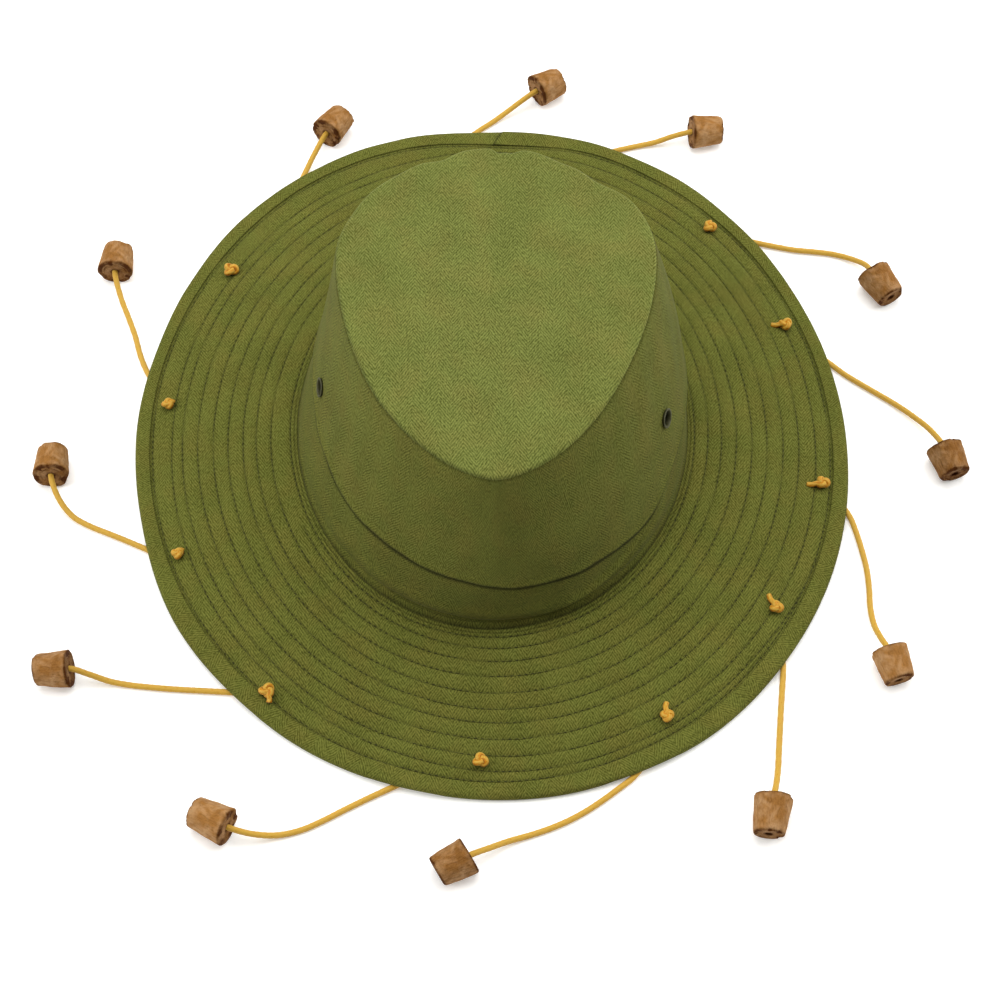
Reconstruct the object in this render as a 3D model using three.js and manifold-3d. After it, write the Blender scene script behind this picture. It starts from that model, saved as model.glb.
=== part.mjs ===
import * as THREE from 'three';
import { mergeVertices } from 'three/addons/utils/BufferGeometryUtils.js';
import Module from 'manifold-3d';

const wasm = await Module();
wasm.setup();

// A cloth hat with a quilted oval brim, and twelve corks that hang from the brim on knotted cords.
// Millimetres, +Z up, the front of the hat towards -Y. The surface that the hat stands on is z = 0.

// Brim: its outline is an oval turned slightly clockwise
const brimWidth = 333;
const brimLength = 365;
const brimTurn = 0.009;         // share of the outline gained and lost on the two diagonals
const brimRise = 18;            // from the edge up to the seam with the crown
const brimThick = 1.4;
const bindingWidth = 8.3;
const bindingThick = 1;
const bindingRound = 0.8;       // rounded rim of the binding
const restFlat = 3;             // width of the flat that the binding rests on
const clothGap = 0.3;           // air between neighbouring pieces

// Crown: an oval seam at the brim, an egg-shaped tip with its narrow end at the front
const seamWidth = 180;
const seamLength = 214;
const seamShift = { x: 0.8, y: -3 };
const crownRise = 95;           // from the seam up to the edge of the tip
const wallThick = 1.6;
const wallBulge = 1.2;
const wallLean = { x: 2.6, y: -1 };
const tipWidth = 140;
const tipFront = 111.3;         // from the widest place of the tip forwards
const tipBack = 60.4;
const tipShift = { x: 2.5, y: 22 };
const tipPoint = 1.24;          // above 1 the front of the tip is pointed
const tipThick = 1.6;
const tipDome = 3;

// Vents: a metal eyelet on each side
const eyeletOuter = 10;
const eyeletBarrel = 8;
const eyeletBore = 6.6;
const eyeletFlange = 0.6;
const eyeletStand = 0.7;        // from the cloth out to the flange

// Cords, knots and corks
const cordDiameter = 2.7;
const cordTilt = 70;            // slope of the cord where it goes down through the brim
const cordBend = 6;             // radius of the bend below the brim
const cordFloorGap = 0.05;
const cordHoleGap = 0.55;       // air round a cord in its hole in the brim
const cordInCork = 9;
const knotWidth = 5.8;
const knotHeight = 4.8;
const corkWide = 17.9;
const corkNarrow = 14.8;
const corkLength = 15.5;

// Where each cord lifts the edge of the brim
const liftClear = 0.5;          // air between a cord and the edge above it
const liftTop = 3.5;            // degrees each way that are lifted fully
const liftFoot = 10.5;          // degrees each way to where the edge is down again
const liftStart = 0.3;          // share of the way out where the lift begins

// Fineness of the faceted surfaces
const stationStep = 7;          // widest step round the brim, in degrees
const brimShares = [0, 0.4, 0.75, 1];
const crownSteps = 60;
const sideSteps = 4;
const bandSteps = 2;
const tipRings = 3;
const holeSides = 12;
const eyeletSides = 14;
const cordSides = 8;
const knotSides = 8;
const knotRings = 6;
const corkSides = 12;
const throughCloth = 6;         // length of a drill, in thicknesses of the cloth

// Height of the fold above the band, as a share of the crown's rise
const bandFold = [
  { angle: 0, share: 0.3 },
  { angle: 60, share: 0.3 },
  { angle: 120, share: 0.32 },
  { angle: 180, share: 0.38 },
  { angle: 201, share: 0.335 },
  { angle: 218, share: 0.31 },
  { angle: 242, share: 0.33 },
  { angle: 258, share: 0.335 },
  { angle: 283, share: 0.3 },
  { angle: 300, share: 0.265 },
  { angle: 322, share: 0.215 },
  { angle: 337, share: 0.27 },
  { angle: 360, share: 0.3 },
];

const vents = [
  { name: 'vent_eyelet_left', angle: 192, share: 0.5 },
  { name: 'vent_eyelet_right', angle: 336.5, share: 0.56 },
];

// One row for each cord, clockwise from the back. exit and knot are angles round the brim, reach is
// the knot's place from the seam (0) to the edge (1). route holds chosen points [x, y, rise], in
// millimetres, with rise 0 on the surface and 1 at the middle of the cork's wide face. heading is
// the way the cork points, in degrees, and size its length as a share of corkLength.
const cords = [
  { exit: 93.5, knot: 94, reach: 0.725, heading: 35, size: 0.95,
    route: [[-15.8, 170.4, 0], [-13.4, 176.4, 0], [-7, 182.8, 0], [1, 189, 0.05],
      [8.5, 194.4, 0.3], [15.8, 199, 0.7], [22.7, 203.2, 1]] },
  { exit: 70, knot: 82, reach: 0.735, heading: 10, size: 1,
    route: [[33, 162.6, 0], [43.5, 165, 0], [54.5, 167.6, 0], [63, 170.6, 0], [72.5, 173.2, 0],
      [82.4, 175, 0.15], [91.8, 176.3, 0.62], [100.6, 176.9, 1]] },
  { exit: 39, knot: 45.2, reach: 0.815, heading: 301, size: 1.06,
    route: [[121, 116.3, 0], [130.6, 113.3, 0], [139.7, 111, 0], [149.3, 108.9, 0], [159, 107.8, 0],
      [168.7, 106.2, 0], [177.3, 102.5, 0.15], [182.8, 96.9, 0.6], [185.2, 90.5, 1]] },
  { exit: 14.2, knot: 21.6, reach: 0.776, heading: 287, size: 0.97,
    route: [[151.5, 51.5, 0], [162.3, 42, 0], [169, 35.8, 0], [176.8, 29.9, 0], [184.4, 24.4, 0],
      [192.1, 18.4, 0.05], [199.4, 11, 0.25], [206, 1.8, 0.65], [210.8, -8.6, 1]] },
  { exit: 347.7, knot: 351, reach: 0.832, heading: 285, size: 1,
    route: [[161.5, -35.5, 0], [165.4, -41.8, 0], [167.7, -49.6, 0], [169.7, -59.4, 0],
      [171.2, -69.3, 0], [171.6, -79.5, 0], [171.4, -89.7, 0], [172.2, -98.8, 0.2],
      [174.2, -106.8, 0.62], [176.5, -113.7, 1]] },
  { exit: 321.8, knot: 327.8, reach: 0.798, heading: 260, size: 1.12,
    route: [[129.6, -105.5, 0], [130.2, -113.5, 0], [130.2, -121, 0], [129.3, -129.5, 0],
      [128.2, -139, 0], [127.2, -148.6, 0], [126.2, -158.2, 0], [125.2, -167.8, 0.1],
      [123.6, -176.6, 0.58], [121.8, -184, 1]] },
  { exit: 293.4, knot: 300.8, reach: 0.791, heading: 206, size: 1.02,
    route: [[71.5, -158.4, 0], [66.8, -166.2, 0], [61.7, -172.6, 0], [55.6, -177.6, 0],
      [48.6, -183, 0], [41.4, -188, 0], [33.7, -192.4, 0], [25.7, -196, 0], [17.6, -198.9, 0],
      [8.6, -202, 0.15], [-0.3, -206.6, 0.6], [-8.4, -210.9, 1]] },
  { exit: 257, knot: 268.4, reach: 0.793, heading: 152, size: 1.14,
    route: [[-20, -167.4, 0], [-29, -170.2, 0], [-37, -174.2, 0], [-44, -177.7, 0],
      [-52.6, -182, 0], [-62, -187, 0], [-71.4, -192.2, 0], [-81, -196.7, 0], [-91, -199.3, 0.1],
      [-101.6, -200, 0.55], [-111.5, -198.4, 1]] },
  { exit: 226.3, knot: 230.9, reach: 0.844, heading: 180, size: 1,
    route: [[-108.5, -132, 0], [-116.5, -131.4, 0], [-124.5, -130.9, 0], [-133, -130.4, 0],
      [-142, -129.8, 0], [-150.8, -129, 0], [-159.4, -128, 0], [-168.3, -126.7, 0.15],
      [-177.3, -124.8, 0.6], [-185.5, -123.3, 1]] },
  { exit: 199, knot: 202, reach: 0.82, heading: 92, size: 0.95,
    route: [[-153, -61.2, 0], [-159.3, -58.4, 0], [-167, -54.8, 0], [-175.6, -51, 0],
      [-184.2, -47.2, 0], [-192.4, -42.4, 0.08], [-199.2, -34.6, 0.5], [-203.2, -24.6, 1]] },
  { exit: 169, knot: 174.3, reach: 0.816, heading: 88, size: 1,
    route: [[-159.5, 29.6, 0], [-164.4, 37.8, 0], [-168.2, 47, 0], [-171.4, 57.8, 0],
      [-175.4, 68.4, 0.06], [-179.6, 78.6, 0.4], [-182.8, 90.4, 1]] },
  { exit: 125, knot: 146.4, reach: 0.807, heading: 58, size: 1,
    route: [[-116.5, 107.5, 0], [-110, 117.2, 0], [-104.6, 126.6, 0], [-100.8, 136.2, 0],
      [-97.2, 146.2, 0], [-93.6, 156.2, 0.04], [-89.2, 165.6, 0.45], [-83.3, 175.6, 1]] },
];

const olive = { color: 0x6b7038, roughness: 0.9, metalness: 0 };
const paleOlive = { color: 0x7f8b47, roughness: 0.9, metalness: 0 };
const paintedEyelet = { color: 0x5a5640, roughness: 0.55, metalness: 0.6 };
const goldCord = { color: 0xd9a426, roughness: 0.8, metalness: 0 };
const corkBrown = { color: 0x97704a, roughness: 0.85, metalness: 0 };

const radians = (degrees) => degrees * Math.PI / 180;
const mix = (a, b, share) => a + (b - a) * share;

// Values of a table with an angle column, eased between its rows
function tableValue(table, degrees) {
  const turn = ((degrees % 360) + 360) % 360;
  const after = table.findIndex((row) => row.angle > turn);
  const [low, high] = [table[after - 1], table[after]];
  const share = (turn - low.angle) / (high.angle - low.angle);
  return mix(low.share, high.share, THREE.MathUtils.smoothstep(share, 0, 1));
}

// Outlines in plan
function seamPlan(degrees) {
  const angle = radians(degrees);
  return new THREE.Vector2(
    seamShift.x + seamWidth / 2 * Math.cos(angle),
    seamShift.y + seamLength / 2 * Math.sin(angle),
  );
}

function edgePlan(degrees) {
  const angle = radians(degrees);
  const share = 1 - brimTurn * Math.sin(2 * angle);
  return new THREE.Vector2(
    share * brimWidth / 2 * Math.cos(angle),
    share * brimLength / 2 * Math.sin(angle),
  );
}

function tipPlan(degrees) {
  const [across, along] = [Math.cos(radians(degrees)), Math.sin(radians(degrees))];
  const power = along > 0 ? 1 : tipPoint;
  const length = along > 0 ? tipBack : tipFront;
  return new THREE.Vector2(
    tipShift.x + tipWidth / 2 * Math.sign(across) * Math.abs(across) ** power,
    tipShift.y + length * along,
  );
}

// The crown's wall, from the seam (share 0) to the edge of the tip (share 1)
function wallPlan(degrees, share) {
  const swell = Math.sin(Math.PI * share);
  const plan = seamPlan(degrees).lerp(tipPlan(degrees), share);
  plan.x += swell * (wallLean.x + wallBulge * Math.cos(radians(degrees)));
  plan.y += swell * (wallLean.y + wallBulge * Math.sin(radians(degrees)));
  return plan;
}

function wallPoint(degrees, share, inset = 0) {
  const side = wallPlan(degrees + 1, share).sub(wallPlan(degrees - 1, share)).normalize();
  const plan = wallPlan(degrees, share);
  return new THREE.Vector3(
    plan.x - side.y * inset,
    plan.y + side.x * inset,
    seamTop + crownRise * share,
  );
}

// The brim's middle surface, from the seam (reach 0) to the edge (reach 1)
const edgeMiddle = bindingThick + clothGap + brimThick / 2;
const seamTop = edgeMiddle + brimRise + brimThick / 2;

function edgeLift(degrees) {
  const liftHeight = cordFloorGap + cordDiameter + liftClear;
  const nearest = Math.min(...cords.map(({ exit }) => Math.abs(((degrees - exit + 540) % 360) - 180)));
  return liftHeight * THREE.MathUtils.clamp((liftFoot - nearest) / (liftFoot - liftTop), 0, 1);
}

const liftShare = (reach) => Math.max(0, (reach - liftStart) / (1 - liftStart));

function brimPoint(degrees, reach, height = 0) {
  const plan = seamPlan(degrees).lerp(edgePlan(degrees), reach);
  const fall = brimRise * (1 - Math.max(0, reach));
  const middle = edgeMiddle + fall + edgeLift(degrees) * liftShare(reach);
  return new THREE.Vector3(plan.x, plan.y, middle + height);
}

// reach of a place that lies a distance in from the edge
const reachFromEdge = (degrees, distance) => (
  1 - distance / seamPlan(degrees).distanceTo(edgePlan(degrees))
);

// Angles round the brim: the foot, top and middle of each lift, and even steps between them
function brimStations() {
  const marks = cords.flatMap(({ exit }) => (
    [-liftFoot, -liftTop, 0, liftTop, liftFoot].map((offset) => (exit + offset + 360) % 360)
  )).sort((a, b) => a - b);
  return marks.flatMap((start, index) => {
    const end = index + 1 < marks.length ? marks[index + 1] : marks[0] + 360;
    const pieces = Math.max(1, Math.ceil((end - start) / stationStep));
    return Array.from({ length: pieces }, (unused, piece) => mix(start, end, piece / pieces));
  });
}

const evenAngles = (steps) => Array.from({ length: steps }, (unused, index) => index * 360 / steps);

// A closed ring: section gives the corners of the closed section at each angle, counter-clockwise
// when seen along the direction of the turn
function ringGeometry(angles, section) {
  const rings = angles.map(section);
  const corners = rings[0].length;
  const positions = rings.flat().flatMap((point) => point.toArray());
  const index = [];
  rings.forEach((unused, ring) => {
    const next = (ring + 1) % rings.length;
    for (let corner = 0; corner < corners; corner += 1) {
      const after = (corner + 1) % corners;
      const [a, b] = [ring * corners + corner, ring * corners + after];
      const [c, d] = [next * corners + corner, next * corners + after];
      index.push(a, c, b, b, c, d);
    }
  });
  return indexedGeometry(positions, index);
}

// A closed disc with a domed top and an even thickness
function discGeometry(angles, rings, surface) {
  const positions = [];
  const index = [];
  const layer = (side) => {
    const centre = positions.length / 3;
    positions.push(...surface(0, 0, side).toArray());
    for (let ring = 1; ring <= rings; ring += 1) {
      angles.forEach((degrees) => positions.push(...surface(degrees, ring / rings, side).toArray()));
    }
    return centre;
  };
  const place = (centre, ring, step) => centre + 1 + (ring - 1) * angles.length + (step % angles.length);
  const [top, bottom] = [layer(0), layer(1)];
  angles.forEach((unused, step) => {
    index.push(top, place(top, 1, step), place(top, 1, step + 1));
    index.push(bottom, place(bottom, 1, step + 1), place(bottom, 1, step));
    for (let ring = 1; ring < rings; ring += 1) {
      const quad = (centre) => [
        place(centre, ring, step), place(centre, ring + 1, step),
        place(centre, ring + 1, step + 1), place(centre, ring, step + 1),
      ];
      const [a, b, c, d] = quad(top);
      index.push(a, b, c, a, c, d);
      const [e, f, g, h] = quad(bottom);
      index.push(e, g, f, e, h, g);
    }
    const [rimA, rimB] = [place(top, rings, step), place(top, rings, step + 1)];
    const [footA, footB] = [place(bottom, rings, step), place(bottom, rings, step + 1)];
    index.push(rimA, footA, footB, rimA, footB, rimB);
  });
  return indexedGeometry(positions, index);
}

function indexedGeometry(positions, index) {
  const geometry = new THREE.BufferGeometry();
  geometry.setAttribute('position', new THREE.Float32BufferAttribute(positions, 3));
  geometry.setIndex(index);
  return geometry;
}

// Cutting round holes through cloth
function toManifold(geometry) {
  const bare = geometry.clone();
  bare.deleteAttribute('normal');
  bare.deleteAttribute('uv');
  const merged = mergeVertices(bare, 1e-4);
  return new wasm.Manifold(new wasm.Mesh({
    numProp: 3,
    vertProperties: Float32Array.from(merged.attributes.position.array),
    triVerts: Uint32Array.from(merged.index.array),
  }));
}

function withHoles(geometry, drills) {
  let body = toManifold(geometry);
  drills.forEach((drill) => { body = body.subtract(toManifold(drill)); });
  const mesh = body.getMesh();
  return indexedGeometry(Array.from(mesh.vertProperties), Array.from(mesh.triVerts));
}

function drillGeometry(centre, direction, radius, thickness) {
  const drill = new THREE.CylinderGeometry(radius, radius, thickness * throughCloth, holeSides);
  const turn = new THREE.Quaternion().setFromUnitVectors(new THREE.Vector3(0, 1, 0), direction);
  return drill.applyQuaternion(turn).translate(...centre.toArray());
}

// The crown's pieces
function wallSection(degrees, lowShare, highShare, steps, bottomGap, topGap) {
  const outer = [];
  const inner = [];
  for (let step = 0; step <= steps; step += 1) {
    const low = lowShare + bottomGap / crownRise;
    const high = highShare - topGap / crownRise;
    const share = mix(low, high, step / steps);
    outer.push(wallPoint(degrees, share));
    inner.unshift(wallPoint(degrees, share, wallThick));
  }
  return [...outer, ...inner];
}

function crownBandGeometry() {
  return ringGeometry(evenAngles(crownSteps), (degrees) => (
    wallSection(degrees, 0, tableValue(bandFold, degrees), bandSteps, clothGap, clothGap)
  ));
}

function ventPlace({ angle, share }) {
  const centre = wallPoint(angle, share, wallThick / 2);
  const along = wallPoint(angle + 1, share).sub(wallPoint(angle - 1, share));
  const up = wallPoint(angle, share + 0.02).sub(wallPoint(angle, share - 0.02));
  return { centre, out: along.cross(up).normalize() };
}

function crownSideGeometry() {
  const cloth = ringGeometry(evenAngles(crownSteps), (degrees) => (
    wallSection(degrees, tableValue(bandFold, degrees), 1, sideSteps, 0, tipThick + clothGap)
  ));
  const holeRadius = eyeletBarrel / 2 + clothGap;
  return withHoles(cloth, vents.map((vent) => {
    const { centre, out } = ventPlace(vent);
    return drillGeometry(centre, out, holeRadius, wallThick);
  }));
}

function crownTipGeometry() {
  return discGeometry(evenAngles(crownSteps), tipRings, (degrees, share, side) => {
    const rim = wallPlan(degrees, 1);
    const plan = new THREE.Vector2(tipShift.x, tipShift.y).lerp(rim, share);
    const height = seamTop + crownRise + tipDome * (1 - share * share) - side * tipThick;
    return new THREE.Vector3(plan.x, plan.y, height);
  });
}

// An eyelet: a barrel through the wall with a flange on its outer end
function eyeletGeometry() {
  const reach = wallThick / 2 + eyeletStand;
  const profile = [
    [eyeletBore / 2, -reach],
    [eyeletBarrel / 2, -reach],
    [eyeletBarrel / 2, reach],
    [eyeletOuter / 2, reach],
    [eyeletOuter / 2, reach + eyeletFlange],
    [eyeletBore / 2, reach + eyeletFlange],
    [eyeletBore / 2, -reach],
  ].map(([radius, height]) => new THREE.Vector2(radius, height));
  return new THREE.LatheGeometry(profile, eyeletSides);
}

// The brim's pieces
function brimGeometry() {
  const endDistance = bindingThick + clothGap;
  const cloth = ringGeometry(brimStations(), (degrees) => {
    const inner = -wallThick / seamPlan(degrees).distanceTo(edgePlan(degrees));
    const outer = reachFromEdge(degrees, endDistance);
    const shares = brimShares.map((share) => mix(inner, outer, share));
    const top = shares.map((reach) => brimPoint(degrees, reach, brimThick / 2));
    const bottom = shares.map((reach) => brimPoint(degrees, reach, -brimThick / 2));
    return [...bottom, ...top.reverse()];
  });
  const holeRadius = cordDiameter / 2 + cordHoleGap;
  return withHoles(cloth, cords.map((cord) => {
    const { start, slope } = cordStart(cord);
    return drillGeometry(start, slope, holeRadius, brimThick);
  }));
}

function bindingGeometry() {
  return ringGeometry(brimStations(), (degrees) => {
    const at = (distance, height) => brimPoint(degrees, reachFromEdge(degrees, distance), height);
    const floorAt = (distance) => at(distance, 0).setZ(edgeLift(degrees));
    const [inside, outside] = [brimThick / 2 + clothGap, brimThick / 2 + clothGap + bindingThick];
    const lowRim = floorAt(0);
    lowRim.z += bindingRound;
    return [
      lowRim,
      at(0, outside - bindingRound),
      at(bindingRound, outside),
      at(bindingWidth, outside),
      at(bindingWidth, inside),
      at(bindingThick, inside),
      at(bindingThick, -inside),
      at(bindingWidth, -inside),
      at(bindingWidth, -outside),
      floorAt(bindingRound + restFlat),
      floorAt(bindingRound),
    ];
  });
}

// Cords: each starts under its knot, goes down through the brim and runs out along the surface
const cordHeight = cordDiameter / 2 + cordFloorGap;

function corkAxis() {
  const taper = Math.atan((corkWide - corkNarrow) / 2 / corkLength);
  return { taper, height: corkWide / 2 * Math.cos(Math.PI / corkSides) * Math.cos(taper) };
}

function cordStart({ knot, reach, route }) {
  const rimRise = cordDiameter / 2 * Math.cos(radians(cordTilt));
  const start = brimPoint(knot, reach, brimThick / 2 - rimRise);
  const away = new THREE.Vector3(route[0][0] - start.x, route[0][1] - start.y, 0).normalize();
  const steepest = Math.acos(Math.max(0, 1 - (start.z - cordHeight) / cordBend));
  const tilt = Math.min(radians(cordTilt), steepest);
  const slope = away.clone().multiplyScalar(Math.cos(tilt));
  slope.z = -Math.sin(tilt);
  return { start, away, slope, tilt };
}

function cordPoints(cord) {
  const { start, away, slope, tilt } = cordStart(cord);
  const bendDrop = cordBend * (1 - Math.cos(tilt));
  const straight = (start.z - cordHeight - bendDrop) / Math.sin(tilt);
  const bendStart = start.clone().addScaledVector(slope, straight);
  const points = straight > cordDiameter / 4 ? [start.clone()] : [];
  for (const share of [0, 0.5, 1]) {
    const left = tilt * (1 - share);
    const point = bendStart.clone().addScaledVector(away, cordBend * (Math.sin(tilt) - Math.sin(left)));
    point.z = cordHeight + cordBend * (1 - Math.cos(left));
    points.push(point);
  }
  const { taper, height } = corkAxis();
  cord.route.forEach(([x, y, rise]) => {
    points.push(new THREE.Vector3(x, y, mix(cordHeight, height, rise)));
  });
  const [heading, end] = [radians(cord.heading), points[points.length - 1]];
  points.push(new THREE.Vector3(
    end.x + cordInCork * Math.cos(taper) * Math.cos(heading),
    end.y + cordInCork * Math.cos(taper) * Math.sin(heading),
    end.z - cordInCork * Math.sin(taper),
  ));
  return points;
}

// The tube has one section at each point of its route
class CordCurve extends THREE.CatmullRomCurve3 {
  getUtoTmapping(share) {
    return share;
  }
}

function cordGeometry(cord) {
  const points = cordPoints(cord);
  const section = new THREE.Shape();
  section.absarc(0, 0, cordDiameter / 2, 0, 2 * Math.PI);
  return new THREE.ExtrudeGeometry(section, {
    extrudePath: new CordCurve(points, false, 'centripetal'),
    steps: points.length - 1,
    curveSegments: cordSides / 2,
    bevelEnabled: false,
  });
}

// A knot sits on the brim over the cord's hole
function knotMesh(name, { knot, reach }) {
  const mesh = namedMesh(name, new THREE.SphereGeometry(0.5, knotSides, knotRings), goldCord);
  const seat = brimPoint(knot, reach, brimThick / 2);
  mesh.scale.set(knotWidth, knotWidth, knotHeight);
  mesh.quaternion.setFromAxisAngle(new THREE.Vector3(0, 0, 1), radians(knot));
  mesh.position.set(seat.x, seat.y, seat.z + knotHeight / 2 + clothGap);
  return mesh;
}

// A tapered cork with a bore, lying on its side with its wide face towards the cord
function corkMesh(name, { heading, size, route }) {
  const length = corkLength * size;
  const bore = cordDiameter / 2 + clothGap;
  const shrink = Math.cos(Math.PI / corkSides);
  const profile = [
    [bore / shrink, 0],
    [corkWide / 2, 0],
    [corkWide / 2 - (corkWide - corkNarrow) / 2 * size, length],
    [bore / shrink, length],
    [bore / shrink, 0],
  ].map(([radius, height]) => new THREE.Vector2(radius, height));
  const mesh = namedMesh(name, new THREE.LatheGeometry(profile, corkSides), corkBrown);
  const { taper, height } = corkAxis();
  const [x, y] = route[route.length - 1];
  mesh.geometry.rotateY(Math.PI / corkSides);
  mesh.geometry.rotateZ(-Math.PI / 2);
  mesh.geometry.rotateY(taper);
  mesh.quaternion.setFromAxisAngle(new THREE.Vector3(0, 0, 1), radians(heading));
  mesh.position.set(x, y, height);
  return mesh;
}

function namedMesh(name, geometry, finish) {
  const mesh = new THREE.Mesh(geometry, new THREE.MeshStandardMaterial(finish));
  mesh.name = name;
  return mesh;
}

// Assembly
const hat = new THREE.Group();
hat.add(namedMesh('crown_tip', crownTipGeometry(), paleOlive));
hat.add(namedMesh('crown_side', crownSideGeometry(), olive));
hat.add(namedMesh('crown_band', crownBandGeometry(), olive));
hat.add(namedMesh('brim', brimGeometry(), olive));
hat.add(namedMesh('brim_binding', bindingGeometry(), olive));

vents.forEach((vent) => {
  const mesh = namedMesh(vent.name, eyeletGeometry(), paintedEyelet);
  const { centre, out } = ventPlace(vent);
  mesh.quaternion.setFromUnitVectors(new THREE.Vector3(0, 1, 0), out);
  mesh.position.copy(centre);
  hat.add(mesh);
});

cords.forEach((cord, index) => {
  const number = String(index + 1).padStart(2, '0');
  hat.add(knotMesh(`knot_${number}`, cord));
  hat.add(namedMesh(`cord_${number}`, cordGeometry(cord), goldCord));
  hat.add(corkMesh(`cork_${number}`, cord));
});

export default hat;
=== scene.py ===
import math

import bmesh
import bpy
import numpy as np
from mathutils import Matrix, Vector


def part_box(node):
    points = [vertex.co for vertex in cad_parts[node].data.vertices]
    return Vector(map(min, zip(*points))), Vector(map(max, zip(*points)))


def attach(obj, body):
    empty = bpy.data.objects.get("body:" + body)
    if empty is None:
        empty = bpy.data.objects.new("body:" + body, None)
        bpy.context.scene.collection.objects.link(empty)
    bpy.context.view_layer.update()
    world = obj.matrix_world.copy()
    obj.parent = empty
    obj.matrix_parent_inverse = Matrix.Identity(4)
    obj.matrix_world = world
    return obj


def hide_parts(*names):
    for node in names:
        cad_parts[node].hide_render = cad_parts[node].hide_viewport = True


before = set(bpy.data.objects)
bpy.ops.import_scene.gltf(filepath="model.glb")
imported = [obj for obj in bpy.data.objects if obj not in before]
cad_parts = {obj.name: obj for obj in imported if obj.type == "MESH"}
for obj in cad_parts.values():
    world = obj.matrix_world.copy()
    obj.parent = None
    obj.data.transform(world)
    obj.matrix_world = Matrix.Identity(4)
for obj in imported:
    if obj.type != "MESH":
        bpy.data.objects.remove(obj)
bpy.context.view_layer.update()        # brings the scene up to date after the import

bl_info = {
    "name": "Cork hat",
    "version": (1, 0, 0),
    "blender": (4, 5, 0),
    "location": "3D View > Sidebar > Cork hat",
    "description": "Dresses the cork hat's frame: quilted brim, crown, braided cords, knots and corks",
    "category": "Object",
}

# Lengths are in millimetres up to the mesh, which is in metres. +Z is up and the front is at -Y.
MM = 0.001
BODY = "root"


def node_box(node):
    """Lowest and highest corner of a frame node, in millimetres."""
    low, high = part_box(node)
    return np.array(low) / MM, np.array(high) / MM


# The brim: its outline is as large as the frame's, and its oval is skewed by a share. Its edge lies
# low, and it rises towards the seam, which is the oval between brim and crown.
BINDING_LOW, BINDING_HIGH = node_box("brim_binding")
BRIM_WIDTH, BRIM_LENGTH = (BINDING_HIGH - BINDING_LOW)[:2]
BRIM_TURN = 0.009
EDGE_MIDDLE = 2.0
BRIM_RISE = 18.0
BRIM_THICK = 1.4
PLY_INSET = 1.3
SEAM_WIDTH, SEAM_LENGTH = 180.0, 214.0
SEAM_SHIFT = (0.8, -3.0)
SEAM_TOP = EDGE_MIDDLE + BRIM_RISE + BRIM_THICK / 2

# The crown: an egg-shaped tip from the frame, pointed in front (a power of 1 is an ellipse), and a
# wall whose middle swells out and leans to one side
TIP_LOW, TIP_HIGH = node_box("crown_tip")
TIP_DOME = 3.0
TIP_WIDTH = TIP_HIGH[0] - TIP_LOW[0]
TIP_SHIFT = ((TIP_HIGH[0] + TIP_LOW[0]) / 2, 22.0)
TIP_BACK = TIP_HIGH[1] - TIP_SHIFT[1]
TIP_FRONT = TIP_SHIFT[1] - TIP_LOW[1]
TIP_POINT = 1.24
CROWN_RISE = TIP_HIGH[2] - TIP_DOME - SEAM_TOP
WALL_THICK = 1.6
WALL_BULGE = 1.2
WALL_LEAN = (2.6, -1.0)
WALL_ARC = 1.7           # length of wall for each degree, for its soft unevenness

# Cords and corks. A cord leaves its hole at a tilt, bends level, lies on the surface and runs into
# its cork. The corks lie on their side, so each one rests on the line of its taper.
CORD_DIAMETER = 2.7
CORD_TILT = 70.0
CORD_BEND = 6.0
CORD_FLOOR_GAP = 0.05
CORD_IN_CORK = 9.0
CORD_REST = CORD_DIAMETER / 2 + CORD_FLOOR_GAP
CORK_WIDE, CORK_NARROW, CORK_LENGTH = 17.9, 14.8, 15.5
CORK_SIDES = 12
CORK_TAPER = math.atan((CORK_WIDE - CORK_NARROW) / 2 / CORK_LENGTH)
CORK_ROUND = CORK_WIDE / 2 * math.cos(math.pi / CORK_SIDES)
CORK_REST = CORK_ROUND * math.cos(CORK_TAPER)
CORK_BORE = 1.75
PLAIT_STRANDS, PLAIT_PITCH = 4, 5.2

# The lift of the brim's edge over each cord: degrees either side, and heights
CORD_CLEAR = 3.1
LIFT_TOP, LIFT_FOOT, LIFT_START = 3.5, 10.5, 0.3
EDGE_LIFT, EDGE_LIFT_SPREAD = 1.5, 8.0

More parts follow.
